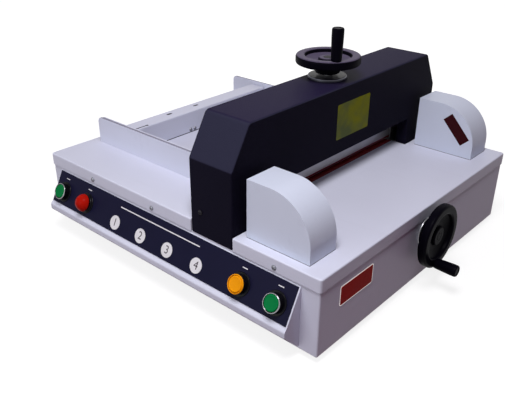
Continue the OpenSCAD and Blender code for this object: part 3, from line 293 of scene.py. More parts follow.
def sprayed(name, colour, rough, grain, depth, specular, streak=(1, 1, 1), top=None):
    """Powder coat: peel of a grain in millimetres, slow drift of tone, rubbed marks along the streak.

    Where a top colour is given, the cut edges that look upwards have it."""
    finish, wire, shader = finish_of(name, Specular_IOR_Level=specular)
    place = wire.node("TexCoord", {}, {}, "Object")
    peel = noise_at(wire, place, 1000 / grain)
    drift = noise_at(wire, place, 7.0, 3.0)
    lay = wire.node("Mapping", {}, {"Vector": place, "Scale": streak})
    marks = noise_at(wire, lay, 55.0, 6.0).between(0.60, 0.74)
    coat = (drift - 0.4 * marks).mixed(lit(colour, 0.95), lit(colour, 1.05))
    if top:
        coat = facing_up(wire).between(0.45, 0.80).mixed(coat, lit(top, 1))
    wire.feed(shader, {
        "Base Color": coat,
        "Roughness": rough + 0.12 * (peel - 0.5) - 0.06 * marks,
        "Normal": wire.node("Bump", {}, {"Strength": 0.35, "Distance": depth / 1000, "Height": peel}),
    })
    return finish


coat_colour = (0.60, 0.612, 0.73)
light_coat = sprayed("light_coat", coat_colour, 0.46, 1.1, 0.05, 0.18)
tray_low, tray_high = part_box("base_tray")
body_middle = (tray_low + tray_high) / 2
close_by = 0.0001


def at_the_bottom(v):
    """Ends of the tray's lower bends."""
    return v.z < tray_low.z + close_by


finished_copy("base_tray", "pressed_tray", light_coat, 0.0006, bends=(0.0028, at_the_bottom, 5))

# Feet
# Four rubber feet, moulded with a hollow under their middle, are screwed under the tray's corners.
# Matt black, a little grey where they have been rubbed.


def moulded(name, colour, rough, grain, depth, specular=0.5):
    """Moulded plastic or rubber: fine grain of the mould, flow marks in tone and sheen."""
    finish, wire, shader = finish_of(name, Specular_IOR_Level=specular)
    place = wire.node("TexCoord", {}, {}, "Object")
    grains = noise_at(wire, place, 1000 / grain, 3.0)
    flow = noise_at(wire, place, 45.0, 3.0)
    wire.feed(shader, {
        "Base Color": flow.mixed(lit(colour, 0.88), lit(colour, 1.12)),
        "Roughness": rough + 0.14 * (grains - 0.5) + 0.08 * (flow - 0.5),
        "Normal": wire.node("Bump", {}, {"Strength": 0.3, "Distance": depth / 1000, "Height": grains}),
    })
    return finish


def repaint(finish, *nodes):
    """A solid whose shape is right already keeps it, and takes this finish."""
    for node in nodes:
        mesh = frame["nodes"][node].data
        mesh.materials.clear()
        mesh.materials.append(finish)


black_rubber = moulded("black_rubber", (0.016, 0.016, 0.018), 0.72, 0.9, 0.08, 0.15)
repaint(black_rubber, "feet")

# Table lids
# Two lids of the same sheet close the tray in front of and behind the arch. Their flanges are folded
# down over the tray's walls and held by screws in the flanks. Paper has rubbed faint streaks into them.
# A thin dark grey strip under the edge of the flanges in front, at the right and behind is painted
# shadow: the dark line where the flanges overhang the tray's walls.


def at(x, y, z):
    """A place, from millimetres off the middle of the body and above the ground."""
    return Vector((body_middle.x + x / 1000, body_middle.y + y / 1000, z / 1000))


def settle(piece, name):
    """Puts a piece's place into its mesh."""
    bpy.ops.object.transform_apply(location=True, rotation=True, scale=True)
    piece.name = name
    return piece


table_coat = sprayed("table_coat", coat_colour, 0.44, 1.1, 0.05, 0.22, (1, 0.08, 1))
flank, lid_end, lid_corner, table_top = 0.256, 0.280, 0.0040, 0.128
near = 0.0045
for node, way in (("front_table", -1), ("rear_table", 1)):

    def on_bend(v):
        """Ends of the bends between a lid's top and its flanges."""
        x, y = abs(v.x - body_middle.x), (v.y - body_middle.y) * way
        if v.z <= table_top - close_by or (x <= flank - near and y <= lid_end - near):
            return False
        past_x, past_y = max(0, x - flank + lid_corner), max(0, y - lid_end + lid_corner)
        return math.hypot(past_x, past_y) > lid_corner - 2 * close_by

    finished_copy(node, node + "_lid", table_coat, 0.00025, steps=2, bends=(0.0020, on_bend, 4))

# The strip below is painted shadow: the dark line under the edge of the lids' flanges.
tray_width, tray_depth, shadow_strip_corner = 509, 557, 3.6
shadow_strip_out, shadow_strip_low, shadow_strip_high = 0.8, 108.1, 108.9
bpy.ops.object.select_all(action="DESELECT")
bpy.ops.mesh.primitive_plane_add(size=1, location=at(0, 0, shadow_strip_low))
shadow_strip = bpy.context.object
shadow_strip.scale = ((tray_width + 2 * shadow_strip_out) / 1000, (tray_depth + 2 * shadow_strip_out) / 1000, 1)
settle(shadow_strip, "flange_shadow_strip")
bpy.ops.object.mode_set(mode="EDIT")
bpy.ops.mesh.select_all(action="SELECT")
bpy.ops.mesh.bevel(offset=shadow_strip_corner / 1000, segments=5, affect="VERTICES")
bpy.ops.mesh.select_all(action="SELECT")
bpy.ops.mesh.inset(thickness=(shadow_strip_out + 0.1) / 1000)
bpy.ops.mesh.delete(type="ONLY_FACE")
bpy.ops.mesh.select_all(action="DESELECT")
strip = bmesh.from_edit_mesh(shadow_strip.data)
# The console covers the left wall, so the strip has no length there
for face in strip.faces:
    middle = face.calc_center_median() - body_middle
    face.select_set(middle.x < -0.25 and abs(middle.y) < 0.1)
bmesh.update_edit_mesh(shadow_strip.data)
bpy.ops.mesh.delete(type="FACE")
bpy.ops.mesh.select_all(action="SELECT")
bpy.ops.mesh.extrude_region_move(TRANSFORM_OT_translate={"value": (0, 0, (shadow_strip_high - shadow_strip_low) / 1000)})
bpy.ops.mesh.select_all(action="SELECT")
bpy.ops.mesh.normals_make_consistent(inside=False)
bpy.ops.object.mode_set(mode="OBJECT")
# Dark grey for painted shade: under the flanges, round the posts' feet and in the pusher's right slot.
painted_shade_grey = moulded("painted_shade_grey", (0.06, 0.055, 0.065), 0.8, 0.7, 0.1, 0.1)
dress(shadow_strip, "base_tray", painted_shade_grey, stands_for=False)

# Screws
# Domed cross-head screws hold the lids to the tray and the pusher to its carriage: zinc plate, dulled
# and grey from handling. Those of the arch are blackened, as are the socket screws of the blade.


def metal(name, colour, rough, stretch, scale, depth, uneven=0.10):
    """Bare metal whose tool marks run along the axis with the smallest stretch."""
    finish, wire, shader = finish_of(name, Metallic=1.0)
    place = wire.node("TexCoord", {}, {}, "Object")
    lay = wire.node("Mapping", {}, {"Vector": place, "Scale": stretch})
    marks = noise_at(wire, lay, scale, 3.0)
    stain = noise_at(wire, place, 30.0, 4.0)
    wire.feed(shader, {
        "Base Color": stain.mixed(lit(colour, 1 - uneven), lit(colour, 1 + uneven)),
        "Roughness": rough + 0.22 * (marks - 0.5) + 0.10 * (stain - 0.5),
        "Normal": wire.node("Bump", {}, {"Strength": 0.4, "Distance": depth / 1000, "Height": marks}),
    })
    return finish


zinc = metal("dull_zinc", (0.20, 0.20, 0.23), 0.40, (1, 1, 1), 900, 0.03)
blackened = metal("blackened_steel", (0.018, 0.017, 0.021), 0.45, (1, 1, 1), 900, 0.03)
repaint(zinc, "table_screws", "gauge_screws", "board_standoffs")
repaint(blackened, "arch_screws", "blade_screws")

# Console housing
# The housing is folded from sheet and hung on the tray's left wall: a slope for the push-buttons,
# with a rolled nose along its lower edge. It is sprayed with the same coat as the tray.

finished_copy("console_shell", "console_housing", light_coat, 0.0009)

# Console overlay
# A polyester film, printed dark from behind, covers the slope. On it are four plain numbered discs,
# a line and a short bar over each button: thin layers of light and dark ink.

slope_top = at(-254.5, 0, 106)
slope_lean = math.atan2(50, 26)
down_slope = Vector((-math.cos(slope_lean), 0, -math.sin(slope_lean)))
off_slope = Vector((-math.sin(slope_lean), 0, math.cos(slope_lean)))
slope_turn = Matrix.Rotation(-slope_lean, 4, "Y") @ Matrix.Rotation(-math.pi / 2, 4, "Z")


def on_slope(down, y, out):
    """A place on the console, in millimetres: down the slope, along the body, and out of the housing."""
    return slope_top + down_slope * (down / 1000) + Vector((0, y / 1000, 0)) + off_slope * (out / 1000)


dark_film = moulded("dark_film", (0.0072, 0.0070, 0.024), 0.38, 0.5, 0.01, 0.035)
finished_copy("console_panel", "console_film", dark_film, 0.00015, steps=2)
film_top, ink_top, ink_thick = 0.82, 0.89, 0.00006


def rounded_sheet(name, place, turn, size, corner, steps, growth):
    """A thin sheet with rounded corners, sizes in millimetres, grown off the face it lies on."""
    bpy.ops.object.select_all(action="DESELECT")
    bpy.ops.mesh.primitive_plane_add(size=1, location=place, rotation=turn)
    piece = bpy.context.object
    piece.scale = (size[0] / 1000, size[1] / 1000, 1)
    settle(piece, name)
    bpy.ops.object.mode_set(mode="EDIT")
    bpy.ops.mesh.select_all(action="SELECT")
    bpy.ops.mesh.bevel(offset=corner / 1000, segments=steps, affect="VERTICES")
    bpy.ops.mesh.select_all(action="SELECT")
    bpy.ops.mesh.extrude_region_move(TRANSFORM_OT_translate={"value": growth})
    bpy.ops.object.mode_set(mode="OBJECT")
    return piece


def flat_print(name, row, y, size, corner):
    """A thin layer of ink on the console, in a row down the slope."""
    place, growth = on_slope(row, y, film_top), off_slope * ink_thick
    return rounded_sheet(name, place, slope_turn.to_euler(), size, corner, 5, growth)


def joined(pieces, name):
    """Makes one piece of several."""
    bpy.ops.object.select_all(action="DESELECT")
    for piece in pieces:
        piece.select_set(True)
    bpy.context.view_layer.objects.active = pieces[0]
    bpy.ops.object.join()
    pieces[0].name = name
    return pieces[0]


bar_row, line_row, button_row, disc_row = 11, 13, 33, 39
rear_green_y, stop_y, amber_y, front_green_y = 230, 170, -164, -224
button_ys = (rear_green_y, stop_y, amber_y, front_green_y)
disc_ys = (93.9, 34.3, -24.5, -84.1)
disc_width, disc_corner, numeral_height = 22, 10.9, 0.017
prints, numerals = [], []
for count, y in enumerate(disc_ys, start=1):
    prints.append(flat_print("disc_%d" % count, disc_row, y, (disc_width, disc_width), disc_corner))
    bpy.ops.object.select_all(action="DESELECT")
    bpy.ops.object.text_add(location=on_slope(disc_row, y, ink_top), rotation=slope_turn.to_euler())
    numeral = bpy.context.object
    numeral.data.body = str(count)
    numeral.data.size = numeral_height
    numeral.data.align_x, numeral.data.align_y = "CENTER", "CENTER"
    numeral.data.extrude = ink_thick / 2
    bpy.ops.object.convert(target="MESH")
    numerals.append(settle(bpy.context.object, "numeral_%d" % count))
prints.append(flat_print("long_line", line_row, 5, (172, 1.6), 0.7))
for y in button_ys:
    prints.append(flat_print("short_bar", bar_row, y, (9, 1.3), 0.5))
light_ink = moulded("light_ink", (0.66, 0.65, 0.68), 0.45, 0.35, 0.01, 0.2)
dark_ink = moulded("dark_ink", (0.03, 0.02, 0.03), 0.45, 0.35, 0.01, 0.2)
dress(joined(prints, "printed_discs"), "console_panel", light_ink, stands_for=False)
dress(joined(numerals, "printed_numerals"), "console_panel", dark_ink, stands_for=False)

# Push-buttons
# Four 22 mm industrial push-buttons: a black moulded bezel with a collar on the film, and coloured caps
# that travel 3 mm. A thin plated ring lies round each green cap, and round the amber one a ring in the
# cap's amber, a painted reflection of the cap in plated metal. The red stop button has a domed head.


def turned(name, foot, axis, out, profile, steps=72, closed=True):
    """A turned piece: the profile gives radius and height in millimetres, from the foot along the axis."""
    places = [foot + out * (r / 1000) + axis * (h / 1000) for r, h in profile]
    places += places[:1] if closed else []
    bpy.ops.object.select_all(action="DESELECT")
    bpy.ops.mesh.primitive_plane_add(size=0.001, location=(0, 0, 0))
    piece = bpy.context.object
    piece.name = name
    bpy.ops.object.mode_set(mode="EDIT")
    bpy.ops.mesh.select_mode(type="VERT")
    bpy.ops.mesh.select_all(action="SELECT")
    bpy.ops.mesh.merge(type="CENTER")
    bpy.ops.transform.translate(value=places[0])
    for here, there in zip(places, places[1:]):
        bpy.ops.mesh.extrude_vertices_move(TRANSFORM_OT_translate={"value": there - here})
    bpy.ops.mesh.select_all(action="SELECT")
    bpy.ops.mesh.spin(steps=steps, angle=2 * math.pi, center=foot, axis=axis)
    bpy.ops.mesh.select_all(action="SELECT")
    bpy.ops.mesh.remove_doubles(threshold=0.000002)
    bpy.ops.mesh.normals_make_consistent(inside=False)
    bpy.ops.object.mode_set(mode="OBJECT")
    return piece


along_body = Vector((0, 1, 0))
collar = [(13.4, 2.4), (15.8, 2.4), (16.4, 1.7), (16.4, 0.8), (11.1, 0.8), (11.1, -18)]
tall_bezel = [(9.4, -18), (9.4, 1.4), (11.6, 1.4), (11.6, 10.3), (13.2, 10.3), (13.4, 9.9)] + collar
low_bezel = [(9.4, -18), (9.4, 3.8), (12.4, 3.8), (13.4, 2.8)] + collar
ring_profile = [(11.65, 10.32), (11.65, 11.6), (12.2, 11.9), (12.8, 11.5), (13.1, 10.8), (13.1, 10.32)]
flat_cap = [(0, -14.7), (9, -14.7), (9, 4.7), (11.2, 4.7), (11.2, 10.6)]
flat_cap += [(10.3, 12.1), (8.8, 12.3), (8.2, 11.9), (0, 11.7)]
dome_r, dome_mid = 14.35, 5.2
dome_turns = [math.radians(angle) for angle in range(80, -1, -8)]
dome = [(dome_r * math.sin(turn), dome_mid + dome_r * math.cos(turn)) for turn in dome_turns]
stop_cap = [(0, -14.7), (9, -14.7), (9, 7.1), (13.6, 7.1)] + dome
bezels, rings = [], []
for y in button_ys:
    foot = on_slope(button_row, y, 0)
    bezels.append(turned("bezel", foot, off_slope, along_body, low_bezel if y == stop_y else tall_bezel))
    soften(bezels[-1], 0.0004, angle=25, steps=2)
    if y != stop_y:
        ring = turned("amber_reflection_ring" if y == amber_y else "ring", foot, off_slope, along_body, ring_profile)
        soften(ring, 0.0002, angle=25, steps=2)
        rings.append(ring)
gloss_black = moulded("gloss_black", (0.004, 0.004, 0.006), 0.30, 1.4, 0.01, 0.08)
plated = metal("plated_ring", (0.24, 0.24, 0.25), 0.20, (1, 1, 1), 700, 0.004, 0.06)
green = moulded("green_plastic", (0.002, 0.165, 0.042), 0.30, 1.2, 0.01, 0.02)
red = moulded("red_plastic", (0.37, 0.007, 0.003), 0.30, 1.2, 0.01, 0.02)
amber = moulded("amber_plastic", (0.80, 0.30, 0.004), 0.30, 1.2, 0.01, 0.02)
rear_ring, amber_reflection_ring, front_ring = rings
dress(joined(bezels, "button_bodies"), "button_bezels", gloss_black)
dress(joined([rear_ring, front_ring], "button_rings"), "button_bezels", plated, stands_for=False)
# The amber ring is a painted reflection of the amber cap in a plated ring.
dress(amber_reflection_ring, "button_bezels", amber, stands_for=False)
caps = {
    "rear_green_button": (rear_green_y, flat_cap, green),
    "red_button": (stop_y, stop_cap, red),
    "amber_button": (amber_y, flat_cap, amber),
    "front_green_button": (front_green_y, flat_cap, green),
}
for node, (y, profile, plastic) in caps.items():
    foot = on_slope(button_row, y, 0)
    cap = turned(node + "_cap", foot, off_slope, along_body, profile, closed=False)
    soften(cap, 0.0004, angle=20, steps=2)
    dress(cap, node, plastic)
switch_plastic = moulded("switch_plastic", (0.03, 0.03, 0.032), 0.5, 0.8, 0.04, 0.2)
repaint(switch_plastic, "switch_blocks", "power_inlet")

# Bed, columns, crossbeam
# The frame that takes the cutting force: milled steel plates under and inside the covers, bolted into
# a ring. The cutting stick lies in the bed's groove: a strip of dark red plastic, turned when worn.

milled = metal("milled_steel", (0.40, 0.40, 0.43), 0.42, (0.05, 1, 1), 1200, 0.03)
repaint(milled, "bed", "left_column", "right_column", "crossbeam", "rear_bearing")
repaint(moulded("red_stick", (0.24, 0.015, 0.022), 0.42, 1.0, 0.03, 0.05), "cutting_stick")

# Arch
# The arch hides the knife and its guides: a cover of 2.5 mm sheet bent over the front, the roof and the
# flanks, and a flat rear panel. Both are sprayed with a black coat that bakes to a fine rough texture.
# The roof is painted lighter, with a little dust and a painted sheen of the lamp above, and the slopes
# beside it lighter still.


def rough_black(name, colour, dust_and_sheen, specular, pebbles, depth, rough=0.55, tilt=(0.05, 0.72), slope=None):
    """Black coat: pebbles of the given size in millimetres, dust and painted sheen where it looks upwards.

    Dust and painted sheen begin and are full at the given tilts. Slopes may have their own colour for them."""
    slope_starts, slope_ends = (0.10, 0.30), (0.80, 0.99)
    finish, wire, shader = finish_of(name, Specular_IOR_Level=specular)
    place = wire.node("TexCoord", {}, {}, "Object")
    pebble = wire.node("TexVoronoi", {"feature": "SMOOTH_F1"},
                       {"Vector": place, "Scale": 1000 / pebbles, "Smoothness": 0.7})
    speck = noise_at(wire, place, 2400 / pebbles, 2.0)
    drift = noise_at(wire, place, 9.0, 3.0)
    rise = facing_up(wire)
    patchy = 0.78 + 0.44 * drift
    coat = drift.mixed(lit(colour, 0.8), lit(colour, 1.2))
    tone = (rise.between(*tilt) * patchy).mixed(coat, lit(dust_and_sheen, 1))
    if slope:
        sloping = (rise.between(*slope_starts) - rise.between(*slope_ends)) * patchy
        tone = sloping.mixed(tone, lit(slope, 1))
    wire.feed(shader, {
        "Base Color": tone,
        "Roughness": rough + 0.16 * (speck - 0.5),
        "Normal": wire.node("Bump", {}, {"Strength": 0.5, "Distance": depth / 1000,
                                         "Height": pebble + 0.5 * speck}),
    })
    return finish


# The second colour is dust and a painted sheen of the lamp above on the roof; the slope colour is the same
# on its slopes.
black_coat = rough_black(
    "black_coat", (0.0058, 0.0050, 0.0118), (0.0128, 0.0096, 0.0300), 0.016, 1.6, 0.25,
    slope=(0.0225, 0.0222, 0.042))
arch_low, arch_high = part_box("arch_cover")
throat_side, arch_side, throat_top, roof_bend = 0.19, 0.25, table_top + 0.05, arch_high.z - 0.06


def on_front_bend(v):
    """Ends of the bends round the arch's front, but not of the edges of its throat."""
    x = abs(v.x - body_middle.x)
    over_throat = v.z > throat_top and (v.z > roof_bend or x > throat_side)
    return v.y < arch_low.y + close_by and (over_throat or x > arch_side)


finished_copy("arch_cover", "arch_hood", black_coat, 0.0006, bends=(0.0022, on_front_bend, 4))
finished_copy("arch_rear_panel", "arch_back", black_coat, 0.0007)

# Blank plates
# Two bare plates: a yellow-green one of coloured film on the front of the arch, and a small dark red
# enamelled one with a bright edge, fixed to the front wall beside the console.


def blank_plate(name, middle, size, thick, corner):
    """A bare plate on a face that looks towards the operator."""
    upright, growth = (math.pi / 2, 0, 0), (0, -thick / 1000, 0)
    piece = rounded_sheet(name, middle, upright, size, corner, 6, growth)
    soften(piece, min(0.0003, thick / 4000), angle=40, steps=2)
    return piece


def faded_film(name, faded, fresh):
    """Coloured film that has faded in soft patches."""
    finish, wire, shader = finish_of(name, Specular_IOR_Level=0.02)
    place = wire.node("TexCoord", {}, {}, "Object")
    patches = noise_at(wire, place, 26.0, 2.0).between(0.35, 0.65)
    grain = noise_at(wire, place, 1800.0, 2.0)
    wire.feed(shader, {
        "Base Color": patches.mixed(faded + (1,), fresh + (1,)),
        "Roughness": 0.36 + 0.10 * (grain - 0.5) + 0.08 * patches,
        "Normal": wire.node("Bump", {}, {"Strength": 0.2, "Distance": 0.00001, "Height": grain}),
    })
    return finish


arch_front, tray_front, rim_thick = -136.0, -278.5, 0.6
film_plate = blank_plate("yellow_plate", at(8, arch_front, 223.5), (83, 54), 0.3, 2.5)
yellow_film = faded_film("yellow_green_film", (0.10, 0.125, 0.042), (0.21, 0.215, 0.008))
dress(film_plate, "arch_cover", yellow_film, stands_for=False)
bright_rim = blank_plate("red_plate_rim", at(-176, tray_front, 82), (74, 30), rim_thick, 3)
rim_plate = metal("rim_plate", (0.72, 0.66, 0.64), 0.30, (1, 1, 1), 900, 0.01)
dress(bright_rim, "base_tray", rim_plate, stands_for=False)
red_plate = blank_plate("red_plate", at(-176, tray_front - rim_thick, 82), (71.6, 27.6), 0.2, 2)
red_enamel = moulded("red_enamel", (0.42, 0.004, 0.004), 0.30, 1.5, 0.01, 0.01)
dress(red_plate, "base_tray", red_enamel, stands_for=False)

# Clamp nut
# A turned steel nut with a wide flange, dropped into the crossbeam through the arch's roof.
# Its flange is blackened, with a bright edge, and lies on the roof under the handwheel.


def lathe_steel(name, centre, along, colour=(0.50, 0.50, 0.53), rough=0.30, edge=None):
    """Steel with the fine rings that a lathe leaves round an axis.

    Where an edge colour is given, the edge is bare and the flat top is blackened."""
    finish, wire, shader = finish_of(name, Metallic=1.0)
    place = wire.node("TexCoord", {}, {}, "Object")
    flat = tuple(0.0 if part else 1.0 for part in along)
    offset = tuple(-c * f for c, f in zip(centre, flat))
    across = wire.node("Mapping", {}, {"Vector": place, "Scale": flat, "Location": offset})
    radius = wire.node("VectorMath", {"operation": "LENGTH"}, {0: across}, "Value")
    rings = wire.node("TexNoise", {"noise_dimensions": "1D"}, {"W": radius, "Scale": 2600.0, "Detail": 2.0})
    stain = noise_at(wire, place, 40.0, 4.0)
    tone = stain.mixed(lit(colour, 0.88), lit(colour, 1.10))
    if edge:
        flat_top = facing_up(wire).between(0.75, 0.97)
        tone = flat_top.mixed(lit(edge, 1), tone)
        wire.feed(shader, {"Metallic": 1 - flat_top, "Specular IOR Level": 0.05})
    wire.feed(shader, {
        "Base Color": tone,
        "Roughness": rough + 0.16 * (rings - 0.5) + 0.10 * (stain - 0.5),
        "Normal": wire.node("Bump", {}, {"Strength": 0.4, "Distance": 0.00004, "Height": rings}),
    })
    return finish


up, rightwards = Vector((0, 0, 1)), Vector((1, 0, 0))
spindle_y = -90
spindle_foot = at(0, spindle_y, 0)
nut_profile = [(7.05, 252), (12, 252), (12, 276), (29, 276)]
nut_profile += [(29, 278.8), (28.4, 279.6), (27.6, 280), (7.05, 280)]
nut = turned("flanged_nut", spindle_foot, up, rightwards, nut_profile, 96)
soften(nut, 0.0002, angle=25, steps=2)
nut_top, nut_edge = (0.020, 0.017, 0.028), (0.15, 0.15, 0.18)
nut_steel = lathe_steel("nut_steel", spindle_foot, (0, 0, 1), nut_top, 0.34, nut_edge)
dress(nut, "clamp_nut", nut_steel)
spindle_steel = lathe_steel("spindle_steel", spindle_foot, (0, 0, 1), (0.45, 0.45, 0.47), 0.32)
repaint(spindle_steel, "clamp_spindle")

# Light posts
# Two moulded covers stand on the front lid and hold the light barrier that stops the knife. A thin dark
# grey strip round the foot of each is painted shadow of the gap there. Their front shoulder is a wide
# curve. A tinted red window is let into the inner face of each, over a row of diodes, and covered with
# film of the same tint.


def bar(name, low, high, edge, turn=(0, 0, 0)):
    """A straight bar or strip between two corners, turned about its middle."""
    bpy.ops.object.select_all(action="DESELECT")
    bpy.ops.mesh.primitive_cube_add(size=1, location=(low + high) / 2, rotation=turn)
    piece = bpy.context.object
    piece.scale = high - low
    settle(piece, name)
    soften(piece, edge, steps=2)
    return piece


post_coat = sprayed("post_coat", (0.580, 0.618, 0.735), 0.44, 0.9, 0.03, 0.20)
post_inner, post_outer, post_front, post_rear = 188, 241, -251, -148.5
window_y, window_z, window_reach = -219.5, 172.5, 0.027


def on_shoulder(v):
    """Ends of the edges round a post's two sides, but not of those round its window."""
    x = abs(v.x - body_middle.x)
    off_inner, off_outer = abs(x - post_inner / 1000), abs(x - post_outer / 1000)
    off_window = (v - at(0, window_y, window_z)).yz.length
    by_window = off_inner < close_by and off_window < window_reach
    return v.z > table_top + 2 * close_by and min(off_inner, off_outer) < close_by and not by_window


shoulder = (0.0016, on_shoulder, 3)
for node in ("left_light_post", "right_light_post"):
    finished_copy(node, node + "_cover", post_coat, 0.0003, angle=40, steps=2, bends=shoulder)
tinted = moulded("tinted_window", (0.034, 0.004, 0.006), 0.12, 3.0, 0.005, 0.05)
for node in ("left_window", "right_window"):
    finished_copy(node, node + "_pane", tinted, 0.0003, steps=2)
film_lean, film_off, film_half = (math.radians(47), 0, 0), 0.12, Vector((0.0001, 0.0255, 0.0095))
# The strips round the posts' feet are painted shadow of the gap under the covers.
base_shadow_spread, base_shadow_low, base_shadow_high = 0.25, 128.02, 128.6
for side, post, window in ((-1, "left_light_post", "left_window"), (1, "right_light_post", "right_window")):
    inner, outer = sorted((side * (post_inner - base_shadow_spread), side * (post_outer + base_shadow_spread)))
    low = at(inner, post_front - base_shadow_spread, base_shadow_low)
    high = at(outer, post_rear + base_shadow_spread, base_shadow_high)
    base_shadow_strip = bar(post + "_base_shadow", low, high, 0.0001)
    dress(base_shadow_strip, post, painted_shade_grey, stands_for=False)
    middle = at(side * (post_inner - film_off), window_y, window_z)
    film = bar(window + "_film", middle - film_half, middle + film_half, 0.00005, film_lean)
    dress(film, window, tinted, stands_for=False)

# Fences
# Two plates stand along the rear lid as side guides for the paper: 3 mm sheet in the light coat, their
# upper edges darker grey where they face upwards. The left one has a narrow lip inside its top.

# Darker grey on the edges that face upwards.
upward_edge_grey = (0.17, 0.165, 0.23)
fence_coat = sprayed("fence_coat", coat_colour, 0.46, 1.1, 0.05, 0.20, top=upward_edge_grey)
for node in ("left_fence", "right_fence"):
    finished_copy(node, node + "_plate", fence_coat, 0.0004)
fence_low, fence_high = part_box("left_fence")
lip_bend, lip_end = 0.0015, 0.0042
lip_front, lip_rear = fence_low.y + 0.0005, fence_high.y - 0.0090
lip_under, lip_top = fence_high.z - 0.0016, fence_high.z - 0.0001
lip_parts = {"fence_edge": (0, lip_bend, fence_coat), "fence_lip": (lip_bend, lip_end, light_coat)}
for name, (start, end, coat) in lip_parts.items():
    low = Vector((fence_high.x + start, lip_front, lip_under))
    high = Vector((fence_high.x + end, lip_rear, lip_top))
    dress(bar(name, low, high, 0.0003), "left_fence", coat, stands_for=False)

# Back gauge
# The pusher is a folded angle in the light coat, slotted along its top. Dark strips under its fold,
# along its foot, in its left slot and in its slit are painted shade, and a dark grey one is painted
# shade in its right slot. It is screwed to a cast carriage whose stem runs in the slot of the rear lid,
# over a brass nut, rails and a lead screw.

finished_copy("back_gauge", "pusher", light_coat, 0.0005)
# Near-black for painted shade: under the pusher's fold, in its slots and slit, and along its foot.
dark_shade_fill = moulded("dark_shade_finish", (0.010, 0.009, 0.013), 0.9, 0.5, 0.1, 0.02)
pusher_low, pusher_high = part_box("back_gauge")
fold_low = Vector((pusher_low.x + 0.0004, pusher_low.y + 0.0031, pusher_high.z - 0.0036))
fold_high = Vector((at(12, 0, 0).x, pusher_high.y - 0.0006, pusher_high.z - 0.00302))
dress(bar("fold_shade_fill", fold_low, fold_high, 0.0001), "back_gauge", dark_shade_fill, stands_for=False)
fold_corner = Vector((pusher_low.x, pusher_low.y, pusher_high.z))
half_thick = 0.0012
for name, along, depth, half_l, half_w, sunk, filler in (
        ("left_slot_shade_fill", at(-66.5, 0, 0).x - pusher_low.x, 0.0186, 0.0058, 0.0024, 0.0005, dark_shade_fill),
        ("right_slot_shade_fill", at(-3, 0, 0).x - pusher_low.x, 0.0186, 0.0058, 0.0024, 0.0005, painted_shade_grey),
        ("slit_shade_fill", 0.0176, 0.0038, 0.0172, 0.0011, -0.0002, dark_shade_fill),
        ("slit_end_shade_fill", 0.0340, 0.0038, 0.0019, 0.0019, -0.0001, dark_shade_fill)):
    middle = fold_corner + Vector((along, depth, -half_thick - sunk))
    half = Vector((half_l, half_w, half_thick))
    dress(bar(name, middle - half, middle + half, 0.0001), "back_gauge", filler, stands_for=False)
foot_low = Vector((pusher_low.x + 0.0002, pusher_low.y - 0.00015, table_top + 0.00012))
foot_high = Vector((pusher_high.x - 0.0002, pusher_low.y + 0.0028, table_top + 0.0013))
dress(bar("foot_shade_fill", foot_low, foot_high, 0.00005), "back_gauge", dark_shade_fill, stands_for=False)
cast_alloy = metal("cast_alloy", (0.42, 0.42, 0.43), 0.52, (1, 1, 1), 420, 0.12)
repaint(cast_alloy, "gauge_carriage", "gearbox")
screw_z = 85
bright_steel = lathe_steel("lead_screw_steel", at(0, 0, screw_z), (0, 1, 0))
repaint(bright_steel, "lead_screw", "gauge_rails", "guide_rollers")
repaint(metal("gauge_brass", (0.60, 0.43, 0.18), 0.30, (1, 0.1, 1), 900, 0.02), "gauge_nut")

# Front bearing
# A turned steel bearing holds the lead screw in the front wall.
# The edge of its flange shows behind the wheel.

outwards = Vector((0, -1, 0))
bearing_foot = at(0, tray_front, screw_z)
bearing_profile = [(6.05, -22), (13, -22), (13, 0), (23.5, 0), (23.5, 2), (22.5, 3), (6.05, 3)]
bearing = turned("flanged_bearing", bearing_foot, outwards, rightwards, bearing_profile, 96)
soften(bearing, 0.0004, angle=25, steps=2)
dress(bearing, "front_bearing", lathe_steel("bearing_steel", bearing_foot, (0, 1, 0)))

# Handwheels
# Two dished handwheels, moulded in black phenolic round a steel bush, with a smooth flat rim and a black
# plug over the shaft's end. One turns the clamp's spindle, the other the lead screw of the back gauge.

phenolic = moulded("black_phenolic", (0.0016, 0.0012, 0.0035), 0.34, 1.6, 0.012, 0.014)
# The clamp wheel's upward faces are painted lighter: a little dust and a painted sheen of the lamp above.
dust_and_sheen_phenolic = rough_black(
    "dust_and_sheen_phenolic", (0.0014, 0.0010, 0.0032), (0.080, 0.066, 0.108), 0.014, 1.1, 0.03, 0.42, (0.60, 0.92))
hub_top = 9.0
wheel_profile = [
    (18.5, -1.6), (22.5, -1.2), (33, 1.7), (35.5, 0.6), (38.5, 0.0), (45, 0.0), (47.2, 0.9), (48, 3.0),
    (48, 10.0), (47.1, 12.1), (45, 13.0), (37.0, 13.0), (34.9, 12.1), (34.2, 10.4), (33.6, 7.4),
    (22.5, 4.0), (16.0, 4.2), (14.5, 5.0), (14.5, 7.2), (12.8, hub_top)]
clamp_wheel_foot, gauge_wheel_foot = at(0, spindle_y, 297), at(0, -292, screw_z)
wheels = {
    "clamp_handwheel": (clamp_wheel_foot, up, 7.05, 13.8, dust_and_sheen_phenolic),
    "gauge_handwheel": (gauge_wheel_foot, outwards, 6.05, 10, phenolic),
}
for node, (foot, axis, bore, hub, finish) in wheels.items():
    profile = [(bore, -hub), (17, -hub), (18.5, 1.5 - hub)] + wheel_profile + [(bore, hub_top)]
    wheel = turned(node + "_moulding", foot, axis, rightwards, profile, 112)
    soften(wheel, 0.0007, angle=22, steps=3)
    dress(wheel, node, finish)
    plug_r = bore - 0.1
    plug_profile = [(0, 8.05), (plug_r, 8.05), (plug_r, 8.7), (plug_r - 0.5, hub_top), (0, hub_top)]
    plug = turned(node + "_plug", foot, axis, rightwards, plug_profile, 48, closed=False)
    soften(plug, 0.0002, angle=22, steps=2)
    dress(plug, node, phenolic, stands_for=False)

# Grips
# Each wheel has a revolving grip on a shoulder pin: black, moulded, a little thicker towards its tip,
# where the head of the pin, with a coat as black as the grip, lies in a recess.

